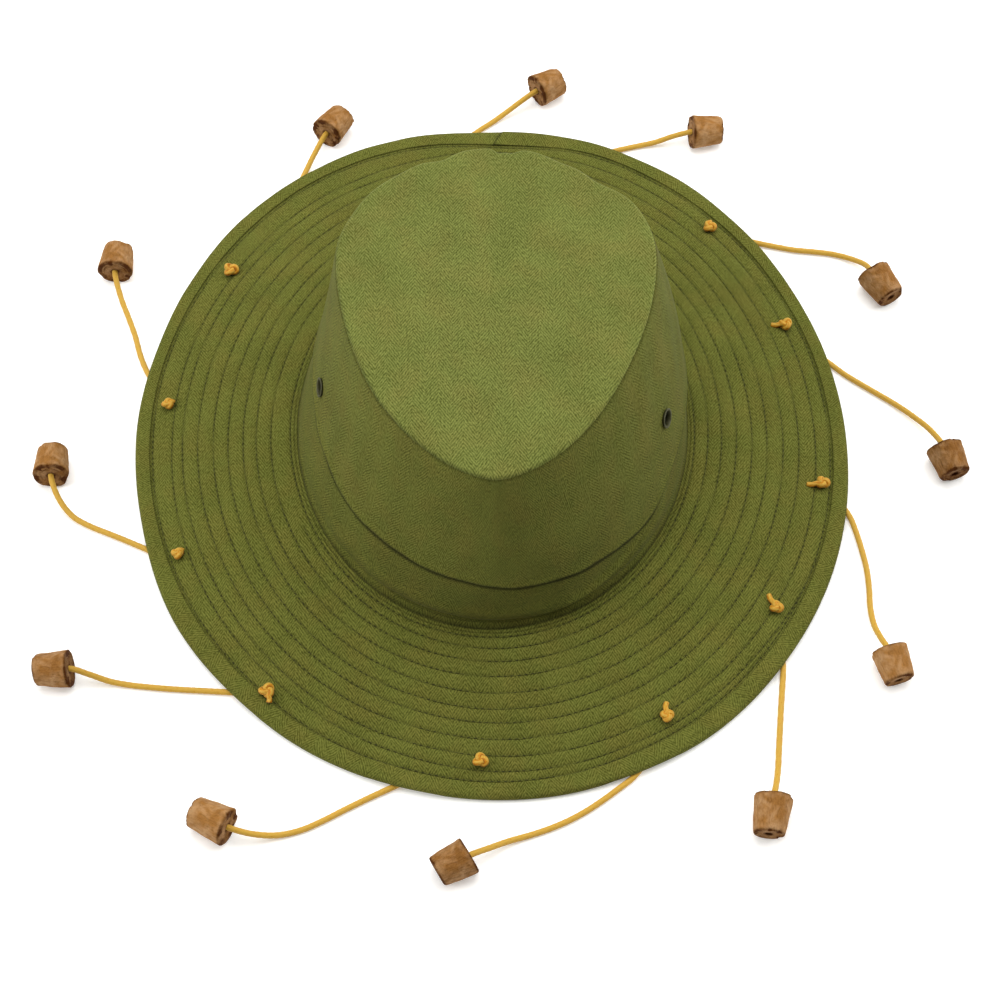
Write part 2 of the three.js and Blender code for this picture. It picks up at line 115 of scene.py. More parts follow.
# One row for each cord, clockwise from the back: where it leaves the edge, its knot's angle and reach,
# the way its cork points in degrees, the cork's length as a share, and the route [x, y, rise] in
# metres, with rise 0 on the surface and 1 at the middle of the cork's wide face
CORD_COLUMNS = ("exit", "knot", "reach", "heading", "size", "route")
CORD_ROWS = [
    (93.5, 94, 0.725, 35, 0.95,
     [(-0.0158, 0.1704, 0), (-0.0134, 0.1764, 0), (-0.0070, 0.1828, 0), (0.0010, 0.1890, 0.05),
      (0.0085, 0.1944, 0.3), (0.0158, 0.1990, 0.7), (0.0227, 0.2032, 1)]),
    (70, 82, 0.735, 10, 1,
     [(0.0330, 0.1626, 0), (0.0435, 0.1650, 0), (0.0545, 0.1676, 0), (0.0630, 0.1706, 0),
      (0.0725, 0.1732, 0), (0.0824, 0.1750, 0.15), (0.0918, 0.1763, 0.62), (0.1006, 0.1769, 1)]),
    (39, 45.2, 0.815, 301, 1.06,
     [(0.1210, 0.1163, 0), (0.1306, 0.1133, 0), (0.1397, 0.1110, 0), (0.1493, 0.1089, 0),
      (0.1590, 0.1078, 0), (0.1687, 0.1062, 0), (0.1773, 0.1025, 0.15), (0.1828, 0.0969, 0.6),
      (0.1852, 0.0905, 1)]),
    (14.2, 21.6, 0.776, 287, 0.97,
     [(0.1515, 0.0515, 0), (0.1623, 0.0420, 0), (0.1690, 0.0358, 0), (0.1768, 0.0299, 0),
      (0.1844, 0.0244, 0), (0.1921, 0.0184, 0.05), (0.1994, 0.0110, 0.25), (0.2060, 0.0018, 0.65),
      (0.2108, -0.0086, 1)]),
    (347.7, 351, 0.832, 285, 1,
     [(0.1615, -0.0355, 0), (0.1654, -0.0418, 0), (0.1677, -0.0496, 0), (0.1697, -0.0594, 0),
      (0.1712, -0.0693, 0), (0.1716, -0.0795, 0), (0.1714, -0.0897, 0), (0.1722, -0.0988, 0.2),
      (0.1742, -0.1068, 0.62), (0.1765, -0.1137, 1)]),
    (321.8, 327.8, 0.798, 260, 1.12,
     [(0.1296, -0.1055, 0), (0.1302, -0.1135, 0), (0.1302, -0.1210, 0), (0.1293, -0.1295, 0),
      (0.1282, -0.1390, 0), (0.1272, -0.1486, 0), (0.1262, -0.1582, 0), (0.1252, -0.1678, 0.1),
      (0.1236, -0.1766, 0.58), (0.1218, -0.1840, 1)]),
    (293.4, 300.8, 0.791, 206, 1.02,
     [(0.0715, -0.1584, 0), (0.0668, -0.1662, 0), (0.0617, -0.1726, 0), (0.0556, -0.1776, 0),
      (0.0486, -0.1830, 0), (0.0414, -0.1880, 0), (0.0337, -0.1924, 0), (0.0257, -0.1960, 0),
      (0.0176, -0.1989, 0), (0.0086, -0.2020, 0.15), (-0.0003, -0.2066, 0.6), (-0.0084, -0.2109, 1)]),
    (257, 268.4, 0.793, 152, 1.14,
     [(-0.0200, -0.1674, 0), (-0.0290, -0.1702, 0), (-0.0370, -0.1742, 0), (-0.0440, -0.1777, 0),
      (-0.0526, -0.1820, 0), (-0.0620, -0.1870, 0), (-0.0714, -0.1922, 0), (-0.0810, -0.1967, 0),
      (-0.0910, -0.1993, 0.1), (-0.1016, -0.2000, 0.55), (-0.1115, -0.1984, 1)]),
    (226.3, 230.9, 0.844, 180, 1,
     [(-0.1085, -0.1320, 0), (-0.1165, -0.1314, 0), (-0.1245, -0.1309, 0), (-0.1330, -0.1304, 0),
      (-0.1420, -0.1298, 0), (-0.1508, -0.1290, 0), (-0.1594, -0.1280, 0), (-0.1683, -0.1267, 0.15),
      (-0.1773, -0.1248, 0.6), (-0.1855, -0.1233, 1)]),
    (199, 202, 0.82, 92, 0.95,
     [(-0.1530, -0.0612, 0), (-0.1593, -0.0584, 0), (-0.1670, -0.0548, 0), (-0.1756, -0.0510, 0),
      (-0.1842, -0.0472, 0), (-0.1924, -0.0424, 0.08), (-0.1992, -0.0346, 0.5), (-0.2032, -0.0246, 1)]),
    (169, 174.3, 0.816, 88, 1,
     [(-0.1595, 0.0296, 0), (-0.1644, 0.0378, 0), (-0.1682, 0.0470, 0), (-0.1714, 0.0578, 0),
      (-0.1754, 0.0684, 0.06), (-0.1796, 0.0786, 0.4), (-0.1828, 0.0904, 1)]),
    (125, 146.4, 0.807, 58, 1,
     [(-0.1165, 0.1075, 0), (-0.1100, 0.1172, 0), (-0.1046, 0.1266, 0), (-0.1008, 0.1362, 0),
      (-0.0972, 0.1462, 0), (-0.0936, 0.1562, 0.04), (-0.0892, 0.1656, 0.45), (-0.0833, 0.1756, 1)]),
]
CORDS = [dict(zip(CORD_COLUMNS, row)) for row in CORD_ROWS]
CORD_EXITS = np.array([cord["exit"] for cord in CORDS], float)

# Height of the fold above the band, as a share of the crown's rise
FOLD_ROWS = [
    (0, 0.3), (60, 0.3), (120, 0.32), (180, 0.38), (201, 0.335), (218, 0.31), (242, 0.33),
    (258, 0.335), (283, 0.3), (300, 0.265), (322, 0.215), (337, 0.27), (360, 0.3),
]

# The quilting is one spiral of stitches, clockwise and inwards from where it leaves the hem's
# stitch. Each row gives its place from the crown's seam (0) to the edge (1) after so many turns.
SPIRAL_START = 338.0
SPIRAL_ROWS = [
    (0.0, 0.9), (0.06, 0.86), (0.19, 0.842), (0.28, 0.797), (0.44, 0.772), (0.61, 0.771),
    (0.77, 0.803), (0.94, 0.802), (1.0, 0.8), (1.19, 0.751), (1.36, 0.71), (1.65, 0.7),
    (1.94, 0.698), (2.19, 0.653), (2.36, 0.615), (2.65, 0.606), (2.94, 0.598), (3.19, 0.556),
    (3.36, 0.52), (3.65, 0.508), (3.94, 0.497), (4.19, 0.475), (4.36, 0.43), (4.65, 0.415),
    (4.94, 0.403), (5.19, 0.38), (5.36, 0.338), (5.65, 0.32), (5.94, 0.306), (6.19, 0.28),
    (6.36, 0.258), (6.65, 0.236), (6.94, 0.214), (7.19, 0.19), (7.36, 0.168), (7.65, 0.148),
    (7.94, 0.129), (8.19, 0.112), (8.36, 0.09),
]

# The row of stitches along the crown's seam
SEAM_STITCH_REACH = 0.045

# How far the sewn edge lies outside (+) or inside (-) the frame's plain oval, by angle
EDGE_ROWS = [
    (0, 0.3), (15, -0.4), (30, 0.0), (40, 0.0), (55, 1.9), (68, 0.5), (80, 0.3), (93, -2.6), (106, 0.3),
    (113, 1.0), (123, 0.1), (138, 1.1), (152, -0.3), (165, -1.3), (180, 0), (192, 0), (213, 2.4),
    (235, 1.6), (250, 1.1), (270, 0.5), (285, 0.9), (305, 1.9), (335, 1.3), (360, 0.3),
]

# The binding's width, the share of the edge's unevenness that it follows, and how much wider it is
# at its join at the back
HEM_WIDTH = 7.0
HEM_FOLLOW = 0.8
HEM_MORE, HEM_MORE_ANGLE, HEM_MORE_SPREAD = 4.6, 89, 12

# The hem's stitches lie beside the binding's fold, and in front they run on the binding
FRONT_ANGLE = 268
HEM_STITCH_GAP = 1.25
HEM_STITCH_SHIFT, HEM_STITCH_SPREAD = 1.5, 24

# Section of the binding: the share of its width from the edge (0) to its fold (1), and the height
# above the middle of the brim
BINDING_TOP = [
    (0.99, 0.55), (1.0, 0.8), (0.985, 0.98), (0.95, 1.1), (0.9, 1.2), (0.82, 1.32), (0.72, 1.48),
    (0.6, 1.62), (0.46, 1.76), (0.32, 1.84), (0.2, 1.86), (0.12, 1.7), (0.05, 1.3), (0.013, 0.75),
    (0.0, 0.0),
]
BINDING_UNDER = [
    (0.013, -0.75), (0.05, -1.4), (0.1, -1.8), (0.18, -2.0), (0.4, -2.0), (0.6, -1.85),
    (0.75, -1.5), (0.85, -1.2), (0.93, -1.2), (0.98, -0.95), (0.97, -0.62),
]
BINDING_INSIDE = [(0.7, -0.6), (0.35, -0.6), (0.17, -0.6), (0.17, 0.6), (0.35, 0.6), (0.7, 0.6)]

# Half a stitch from its middle (0) to its end (1): the thread goes down into a needle hole, where
# shade is painted on it
STITCH_STEPS = (0.0, 0.45, 0.8, 1.0)
STITCH_HOLE_AND_SHADE = (0.0, 0.12, 1.0, 1.0)

# Vents: a frame node, an angle and a share of the crown's rise
VENTS = [
    ("vent_eyelet_left", 192, 0.5),
    ("vent_eyelet_right", 336.5, 0.56),
]

# The cloth at a vent, as radii: points this near are looked at, those nearer are drawn to the
# barrel, and those inside are cut out
VENT_NEAR, VENT_PULL, VENT_BARREL, VENT_CUT = 12.0, 4.8, 3.9, 3.0

# One row for each knot: how it is turned, its width, its cut end's length and direction, and how
# far its middle lies from the hole. The cord in a knot is a little loose.
KNOT_COLUMNS = ("turn", "width", "tail", "tail_turn", "shift_x", "shift_y")
KNOT_ROWS = [
    (20, 5.4, 0, 60, 0, -2.4), (140, 5.4, 0, 0, 0, -2.4), (75, 6.0, 1.5, 80, 0.8, -0.4),
    (10, 6.0, 5.0, 180, 3.0, 0.2), (200, 6.0, 5.5, 184, 0.9, -1.0), (60, 5.8, 5.5, 115, -0.8, -2.6),
    (120, 5.7, 5.0, 90, -0.5, -1.6), (300, 6.4, 0, 0, 0, 0), (30, 6.6, 3.4, 280, -1.4, -2.0),
    (250, 5.4, 1.6, 35, -1.2, -2.0), (160, 5.4, 1.6, 20, 0, -1.5), (90, 6.8, 0, 0, 0.6, -1.0),
]
KNOTS = [dict(zip(KNOT_COLUMNS, row)) for row in KNOT_ROWS]
KNOT_CORD = 2.75
KNOT_MIDDLE = 2.3

# How dark each cork is, as a share of the way to its dark streaks
CORK_TONES = (0.0, -0.08, 0.1, 0.24, -0.05, 0.02, 0.2, -0.05, 0.1, 0.0, 0.04, 0.0)

# Puckers of the seam round the tip: angle, depth, and spread in degrees
TIP_DENTS = [
    (48, 4.0, 11), (65, 2.2, 8), (84.5, 2.6, 3), (89, 2.4, 2.2), (111, 2.8, 6), (128, 1.5, 12),
    (155, 1.2, 14), (198, 1.4, 18), (330, 2.3, 22),
]

# Faces round the brim and the crown
BRIM_COLUMNS = 600
CROWN_COLUMNS = 540

# Stage, in metres, with millimetres for the lens and watts for the lamps
FLOOR_SIZE, FLOOR_DROP = 6.0, 0.0001
ROOM_COLOUR, ROOM_STRENGTH = (1.0, 0.98, 0.82, 1.0), 0.23
SOFTBOX_COLUMNS = ("name", "place", "target", "size", "power")
SOFTBOX_ROWS = [
    ("overhead_softbox", (0.0, 0.5, 1.9), (0, 0, 0), 2.2, 48),
    ("left_softbox", (-1.6, -0.25, 0.9), (0, 0, 0.05), 1.0, 17),
    ("right_softbox", (1.6, 0.5, 0.9), (0, 0, 0.05), 1.0, 16),
]
CAMERA_PLACE, CAMERA_TARGET = (0.00431, -0.5884, 0.963), (0.00431, -0.03242, 0)
CAMERA_LENS, CAMERA_FAR = 86.36, 20


# Colours
def linear(hex_colour):
    """A linear colour from an sRGB hex value."""
    parts = [int(hex_colour[start:start + 2], 16) / 255 for start in (0, 2, 4)]
    return [part / 12.92 if part <= 0.04045 else ((part + 0.055) / 1.055) ** 2.4 for part in parts]


def colour_property(name, description, hex_colour):
    """A colour that the user can change."""
    return bpy.props.FloatVectorProperty(
        name=name, description=description, subtype="COLOR", size=3, min=0, max=1,
        default=linear(hex_colour))


def length_property(name, description, default):
    """A length in metres that the user can change."""
    return bpy.props.FloatProperty(
        name=name, description=description, unit="LENGTH", min=0, precision=5, default=default * MM)


class CorkHatSizes(bpy.types.PropertyGroup):
    """Sizes of the sewing and the trim."""
    quilt_depth: length_property("Quilt depth", "How deep a row of stitches pulls the brim in", 0.65)
    stitch_length: length_property("Stitch length", "From one stitch to the next", 3.0)
    stitch_width: length_property("Thread width", "Width of the sewing thread", 0.42)
    weave_column: length_property("Weave column", "Width of one column of the herringbone", 5.4)
    weave_pitch: length_property("Weave pitch", "From one line of the weave to the next, up a column", 1.8)
    cord_diameter: length_property("Cord diameter", "Diameter of the braided cord", CORD_DIAMETER)


class CorkHatColours(bpy.types.PropertyGroup):
    """Colours of the cloth and the trim."""
    cloth: colour_property("Cloth", "Olive cotton of the brim and the crown's side", "5a5c26")
    pale_cloth: colour_property("Tip cloth", "Lighter olive cotton of the crown's tip", "636832")
    thread: colour_property("Thread", "Sewing thread", "53551f")
    cord: colour_property("Cord", "Golden braided cord", "ae8826")
    cork: colour_property("Cork", "Side of a cork", "a7825a")
    cork_dark: colour_property("Cork streaks", "Streaks, cracks and worn rims of a cork", "4a2605")
    eyelet: colour_property("Eyelet", "Enamel of the vent eyelets", "3f3e22")
    floor: colour_property("Floor", "Acrylic table that the hat stands on", "f6f6f6")


# Shares and falloffs. A small form is written as its size times a falloff over a width, both in
# millimetres.
def falloff(distance, width):
    """1 at no distance, falling smoothly towards 0 past a width."""
    return np.exp(-(distance / width) ** 2)


def ease(share):
    """A share from 0 to 1, eased at both ends."""
    return share * share * (3 - 2 * share)


def angle_gap(angle, middle):
    """Degrees from one angle to another, from -180 to 180."""
    return (angle - middle + 540) % 360 - 180


def bump_at(angle, middle, spread):
    """A smooth hump round an angle, 1 at its middle."""
    return falloff(angle_gap(angle, middle), spread)


def smooth_rows(rows, angle):
    """A value at an angle, eased between the rows of a table of angles and values."""
    angles, values = np.array(rows, float).T
    turn = angle % 360
    after = np.clip(np.searchsorted(angles, turn, side="right"), 1, len(angles) - 1)
    share = ease((turn - angles[after - 1]) / (angles[after] - angles[after - 1]))
    return values[after - 1] + (values[after] - values[after - 1]) * share


# Plan and height of the hat, in millimetres. Angles are in degrees, anticlockwise from +X.
def turn_plan(angle, width, length, shift=(0, 0)):
    """A place on an oval."""
    radians = np.radians(angle)
    return np.stack([shift[0] + width / 2 * np.cos(radians),
                     shift[1] + length / 2 * np.sin(radians)], -1)


def seam_plan(angle):
    """The oval seam between crown and brim."""
    return turn_plan(angle, SEAM_WIDTH, SEAM_LENGTH, SEAM_SHIFT)


def hem_width(angle):
    """Width of the binding on top of the brim."""
    return (HEM_WIDTH + HEM_FOLLOW * smooth_rows(EDGE_ROWS, angle)
            + HEM_MORE * bump_at(angle, HEM_MORE_ANGLE, HEM_MORE_SPREAD))


def hem_stitch(angle):
    """Distance from the sewn edge to the binding's stitches: beside its fold, and on it in front."""
    shift = HEM_STITCH_SHIFT * bump_at(angle, FRONT_ANGLE, HEM_STITCH_SPREAD)
    return hem_width(angle) + HEM_STITCH_GAP - shift


def edge_reach(angle, inset):
    """Reach of a place at a distance inside the sewn edge."""
    return 1 + (smooth_rows(EDGE_ROWS, angle) - inset) / brim_width(angle)


def edge_plan(angle):
    """The outline of the frame's brim."""
    share = 1 - BRIM_TURN * np.sin(2 * np.radians(angle))
    return share[..., None] * turn_plan(angle, BRIM_WIDTH, BRIM_LENGTH)


def tip_dent(angle):
    """How far the seam pulls the tip's outline in."""
    spots, depths, spreads = np.array(TIP_DENTS, float).T
    return (depths * bump_at(angle[..., None], spots, spreads)).sum(-1)


def tip_plan(angle):
    """The egg-shaped outline of the tip, pointed at the front."""
    across, along = np.cos(np.radians(angle)), np.sin(np.radians(angle))
    power = np.where(along > 0, 1, TIP_POINT)
    length = np.where(along > 0, TIP_BACK, TIP_FRONT)
    return np.stack([TIP_SHIFT[0] + TIP_WIDTH / 2 * np.sign(across) * np.abs(across) ** power,
                     TIP_SHIFT[1] + length * along], -1)


def wall_plan(angle, share):
    """The crown's wall, from the seam (share 0) to the edge of the tip (share 1)."""
    seam, tip = seam_plan(angle), tip_plan(angle)
    swell = np.sin(np.pi * share)
    way = np.stack([np.cos(np.radians(angle)), np.sin(np.radians(angle))], -1)
    lean = np.array(WALL_LEAN) + WALL_BULGE * way
    dent = (tip_dent(angle) * share ** 4)[..., None] * way
    return seam + (tip - seam) * share[..., None] + swell[..., None] * lean - dent


def wall_out(angle, share):
    """Level direction out of the wall."""
    along = wall_plan(angle + 1, share) - wall_plan(angle - 1, share)
    along /= np.linalg.norm(along, axis=-1, keepdims=True)
    return np.stack([along[..., 1], -along[..., 0]], -1)


def wall_point(angle, share, out=0):
    """A point on the wall, moved out by a distance."""
    angle, share, out = np.broadcast_arrays(np.asarray(angle, float), share, out)
    plan = wall_plan(angle, share) + wall_out(angle, share) * out[..., None]
    return np.concatenate([plan, (SEAM_TOP + CROWN_RISE * share)[..., None]], -1)


def cord_gap(angle):
    """Degrees to the nearest place where a cord leaves the edge."""
    return np.abs(angle_gap(angle[..., None], CORD_EXITS)).min(-1)


def cord_clearance(angle):
    """Lowest place for the underside of the edge, so that it clears the cords."""
    share = np.clip((LIFT_FOOT - cord_gap(angle)) / (LIFT_FOOT - LIFT_TOP), 0, 1)
    return CORD_CLEAR * ease(share)


def edge_lift(angle):
    """How far the cords lift the middle of the edge. The binding is pressed flat over them, so this
    is less than a cord's height."""
    return EDGE_LIFT * falloff(cord_gap(angle), EDGE_LIFT_SPREAD)


def brim_width(angle):
    """Distance from the seam to the edge at an angle."""
    return np.linalg.norm(edge_plan(angle) - seam_plan(angle), axis=-1)


def brim_point(angle, reach, height=0):
    """A point above the brim's middle surface."""
    angle, reach, height = np.broadcast_arrays(np.asarray(angle, float), reach, height)
    plan = seam_plan(angle) + (edge_plan(angle) - seam_plan(angle)) * reach[..., None]
    inward = np.clip(reach / edge_reach(angle, 0), 0, 1)
    lift = edge_lift(angle) * np.maximum(0, (inward - LIFT_START) / (1 - LIFT_START))
    middle = EDGE_MIDDLE + BRIM_RISE * (1 - inward) + lift
    return np.concatenate([plan, (middle + height)[..., None]], -1)


def fold_share(angle):
    """Height of the fold above the band at an angle."""
    return smooth_rows(FOLD_ROWS, angle)


def spiral_reach(turns):
    """Where the quilting spiral is after so many turns, or far inside where it has ended."""
    steps, reaches = np.array(SPIRAL_ROWS, float).T
    return np.interp(turns, steps, reaches, right=-1)


# Meshes
def finish_mesh(name, mesh, material, node=None):
    """Links a mesh as a smooth piece that rides on the hat and stands for a frame node."""
    mesh.polygons.foreach_set("use_smooth", np.ones(len(mesh.polygons), bool))
    mesh.update(calc_edges=True)
    mesh.validate()
    mesh.materials.append(material)
    piece = bpy.data.objects.new(name, mesh)
    bpy.context.scene.collection.objects.link(piece)
    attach(piece, BODY)
    if node:
        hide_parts(node)
    return piece


def set_cloth_map(mesh, corners):
    """Stores flat cloth coordinates, in metres, for each face corner."""
    layer = mesh.uv_layers.new(name="cloth")
    layer.uv.foreach_set("vector", (corners * MM).astype(np.float32).ravel())


def quad_mesh(name, points, index):
    """A mesh from points and one long row with the four corners of each face."""
    mesh = bpy.data.meshes.new(name)
    mesh.vertices.add(points.size // 3)
    mesh.vertices.foreach_set("co", (points * MM).astype(np.float32).ravel())
    mesh.loops.add(len(index))
    mesh.loops.foreach_set("vertex_index", index.astype(np.int32))
    mesh.polygons.add(len(index) // 4)
    mesh.polygons.foreach_set("loop_start", np.arange(0, len(index), 4, dtype=np.int32))
    return mesh


def grid_mesh(name, points, flat, closed=(True, True)):
    """A mesh from a grid of points. flat holds the cloth coordinates, with one more row or column
    than points where the grid closes on itself."""
    rows, columns = points.shape[:2]
    row = np.arange(rows if closed[0] else rows - 1)
    column = np.arange(columns if closed[1] else columns - 1)
    first, second = np.meshgrid(row, column, indexing="ij")
    corners = [(first, second), (first + 1, second), (first + 1, second + 1), (first, second + 1)]
    index = np.stack([(i % rows) * columns + (j % columns) for i, j in corners], -1).reshape(-1)
    mesh = quad_mesh(name, points, index)
    mesh.update(calc_edges=True)
    set_cloth_map(mesh, np.stack([flat[i, j] for i, j in corners], 2).reshape(-1, 2))
    return mesh


def tube_frames(path):
    """Tangents and two sideways directions along a path, turned as little as possible."""
    tangents = np.gradient(path, axis=0)
    tangents /= np.linalg.norm(tangents, axis=1, keepdims=True)
    start = np.cross(tangents[0], (0, 0, 1))
    if np.linalg.norm(start) < 0.1:
        start = np.cross(tangents[0], (0, 1, 0))
    sides = [start / np.linalg.norm(start)]
    for tangent in tangents[1:]:
        side = sides[-1] - tangent * np.dot(sides[-1], tangent)
        sides.append(side / np.linalg.norm(side))
    sides = np.array(sides)
    return tangents, sides, np.cross(tangents, sides)


def tube_rings(path, radius):
    """Rings of points round a path. radius holds one row for each point of the path."""
    tangents, sides, ups = tube_frames(path)
    turns = np.linspace(0, 2 * np.pi, radius.shape[1], endpoint=False)
    outward = sides[:, None] * np.cos(turns)[:, None] + ups[:, None] * np.sin(turns)[:, None]
    return path[:, None] + outward * radius[..., None]


def tube_faces(rings, sides, start=0):
    """Faces of a tube with both ends closed, for rings of points in order."""
    faces = []
    for ring in range(rings - 1):
        for side in range(sides):
            after = (side + 1) % sides
            low, high = start + ring * sides, start + (ring + 1) * sides
            faces.append((low + side, low + after, high + after, high + side))
    faces.append(tuple(start + side for side in reversed(range(sides))))
    faces.append(tuple(start + (rings - 1) * sides + side for side in range(sides)))
    return faces


def plait(angle, along, strands, pitch):
    """Height of a round plait, from 0 to 1: two sets of strands that cross over and under."""
    right = strands * angle + 2 * np.pi * along / pitch
    left = strands * angle - 2 * np.pi * along / pitch
    over = 0.5 + 0.5 * np.tanh(4 * np.sin(right / 2) * np.sin(left / 2))
    return over * np.abs(np.cos(right / 2)) + (1 - over) * np.abs(np.cos(left / 2))


def smooth_path(points, step):
    """A curve through the points, sampled at an even step."""
    points = np.array(points, float)
    padded = np.vstack([2 * points[0] - points[1], points, 2 * points[-1] - points[-2]])
    dense = []
    for a, b, c, d in zip(padded, padded[1:], padded[2:], padded[3:]):
        knots = np.cumsum([0] + [np.linalg.norm(q - p) ** 0.5 for p, q in ((a, b), (b, c), (c, d))])
        t = np.linspace(knots[1], knots[2], 24, endpoint=False)[:, None]
        ab = (knots[1] - t) / (knots[1] - knots[0]) * a + (t - knots[0]) / (knots[1] - knots[0]) * b
        bc = (knots[2] - t) / (knots[2] - knots[1]) * b + (t - knots[1]) / (knots[2] - knots[1]) * c
        cd = (knots[3] - t) / (knots[3] - knots[2]) * c + (t - knots[2]) / (knots[3] - knots[2]) * d
        abc = (knots[2] - t) / (knots[2] - knots[0]) * ab + (t - knots[0]) / (knots[2] - knots[0]) * bc
        bcd = (knots[3] - t) / (knots[3] - knots[1]) * bc + (t - knots[1]) / (knots[3] - knots[1]) * cd
        dense.append((knots[2] - t) / (knots[2] - knots[1]) * abc
                     + (t - knots[1]) / (knots[2] - knots[1]) * bcd)
    dense = np.vstack(dense + [points[-1:]])
    length = np.r_[0, np.cumsum(np.linalg.norm(np.diff(dense, axis=0), axis=1))]
    places = np.linspace(0, length[-1], max(2, round(length[-1] / step) + 1))
    return np.stack([np.interp(places, length, dense[:, axis]) for axis in range(3)], -1)


# Materials. The sizes of their patterns are in millimetres.
def add_node(tree, kind, inputs=None, **settings):
    """Adds a node with its settings, and values or links for its inputs."""
    node = tree.nodes.new(kind)
    for name, value in settings.items():
        setattr(node, name, value)
    for key, value in (inputs or {}).items():
        if isinstance(value, bpy.types.NodeSocket):
            tree.links.new(value, node.inputs[key])
        else:
            node.inputs[key].default_value = value
    return node


def new_material(name, **surface):
    """A material with one surface shader and its output."""
    material = bpy.data.materials.new(name)
    material.use_nodes = True
    tree = material.node_tree
    tree.nodes.clear()
    shader = add_node(tree, "ShaderNodeBsdfPrincipled", {
        key.replace("_", " "): value for key, value in surface.items()})
    add_node(tree, "ShaderNodeOutputMaterial", {"Surface": shader.outputs["BSDF"]})
    return material, tree, shader


def rgba(colour, shares=1.0):
    """A colour with alpha, its parts made lighter or darker by one share, or by one share each."""
    return [part * share for part, share in zip(colour, np.broadcast_to(shares, 3).tolist())] + [1.0]


def per_metre(spot):
    """Scale of a pattern whose spots are so many millimetres across."""
    return 1 / (spot * MM)


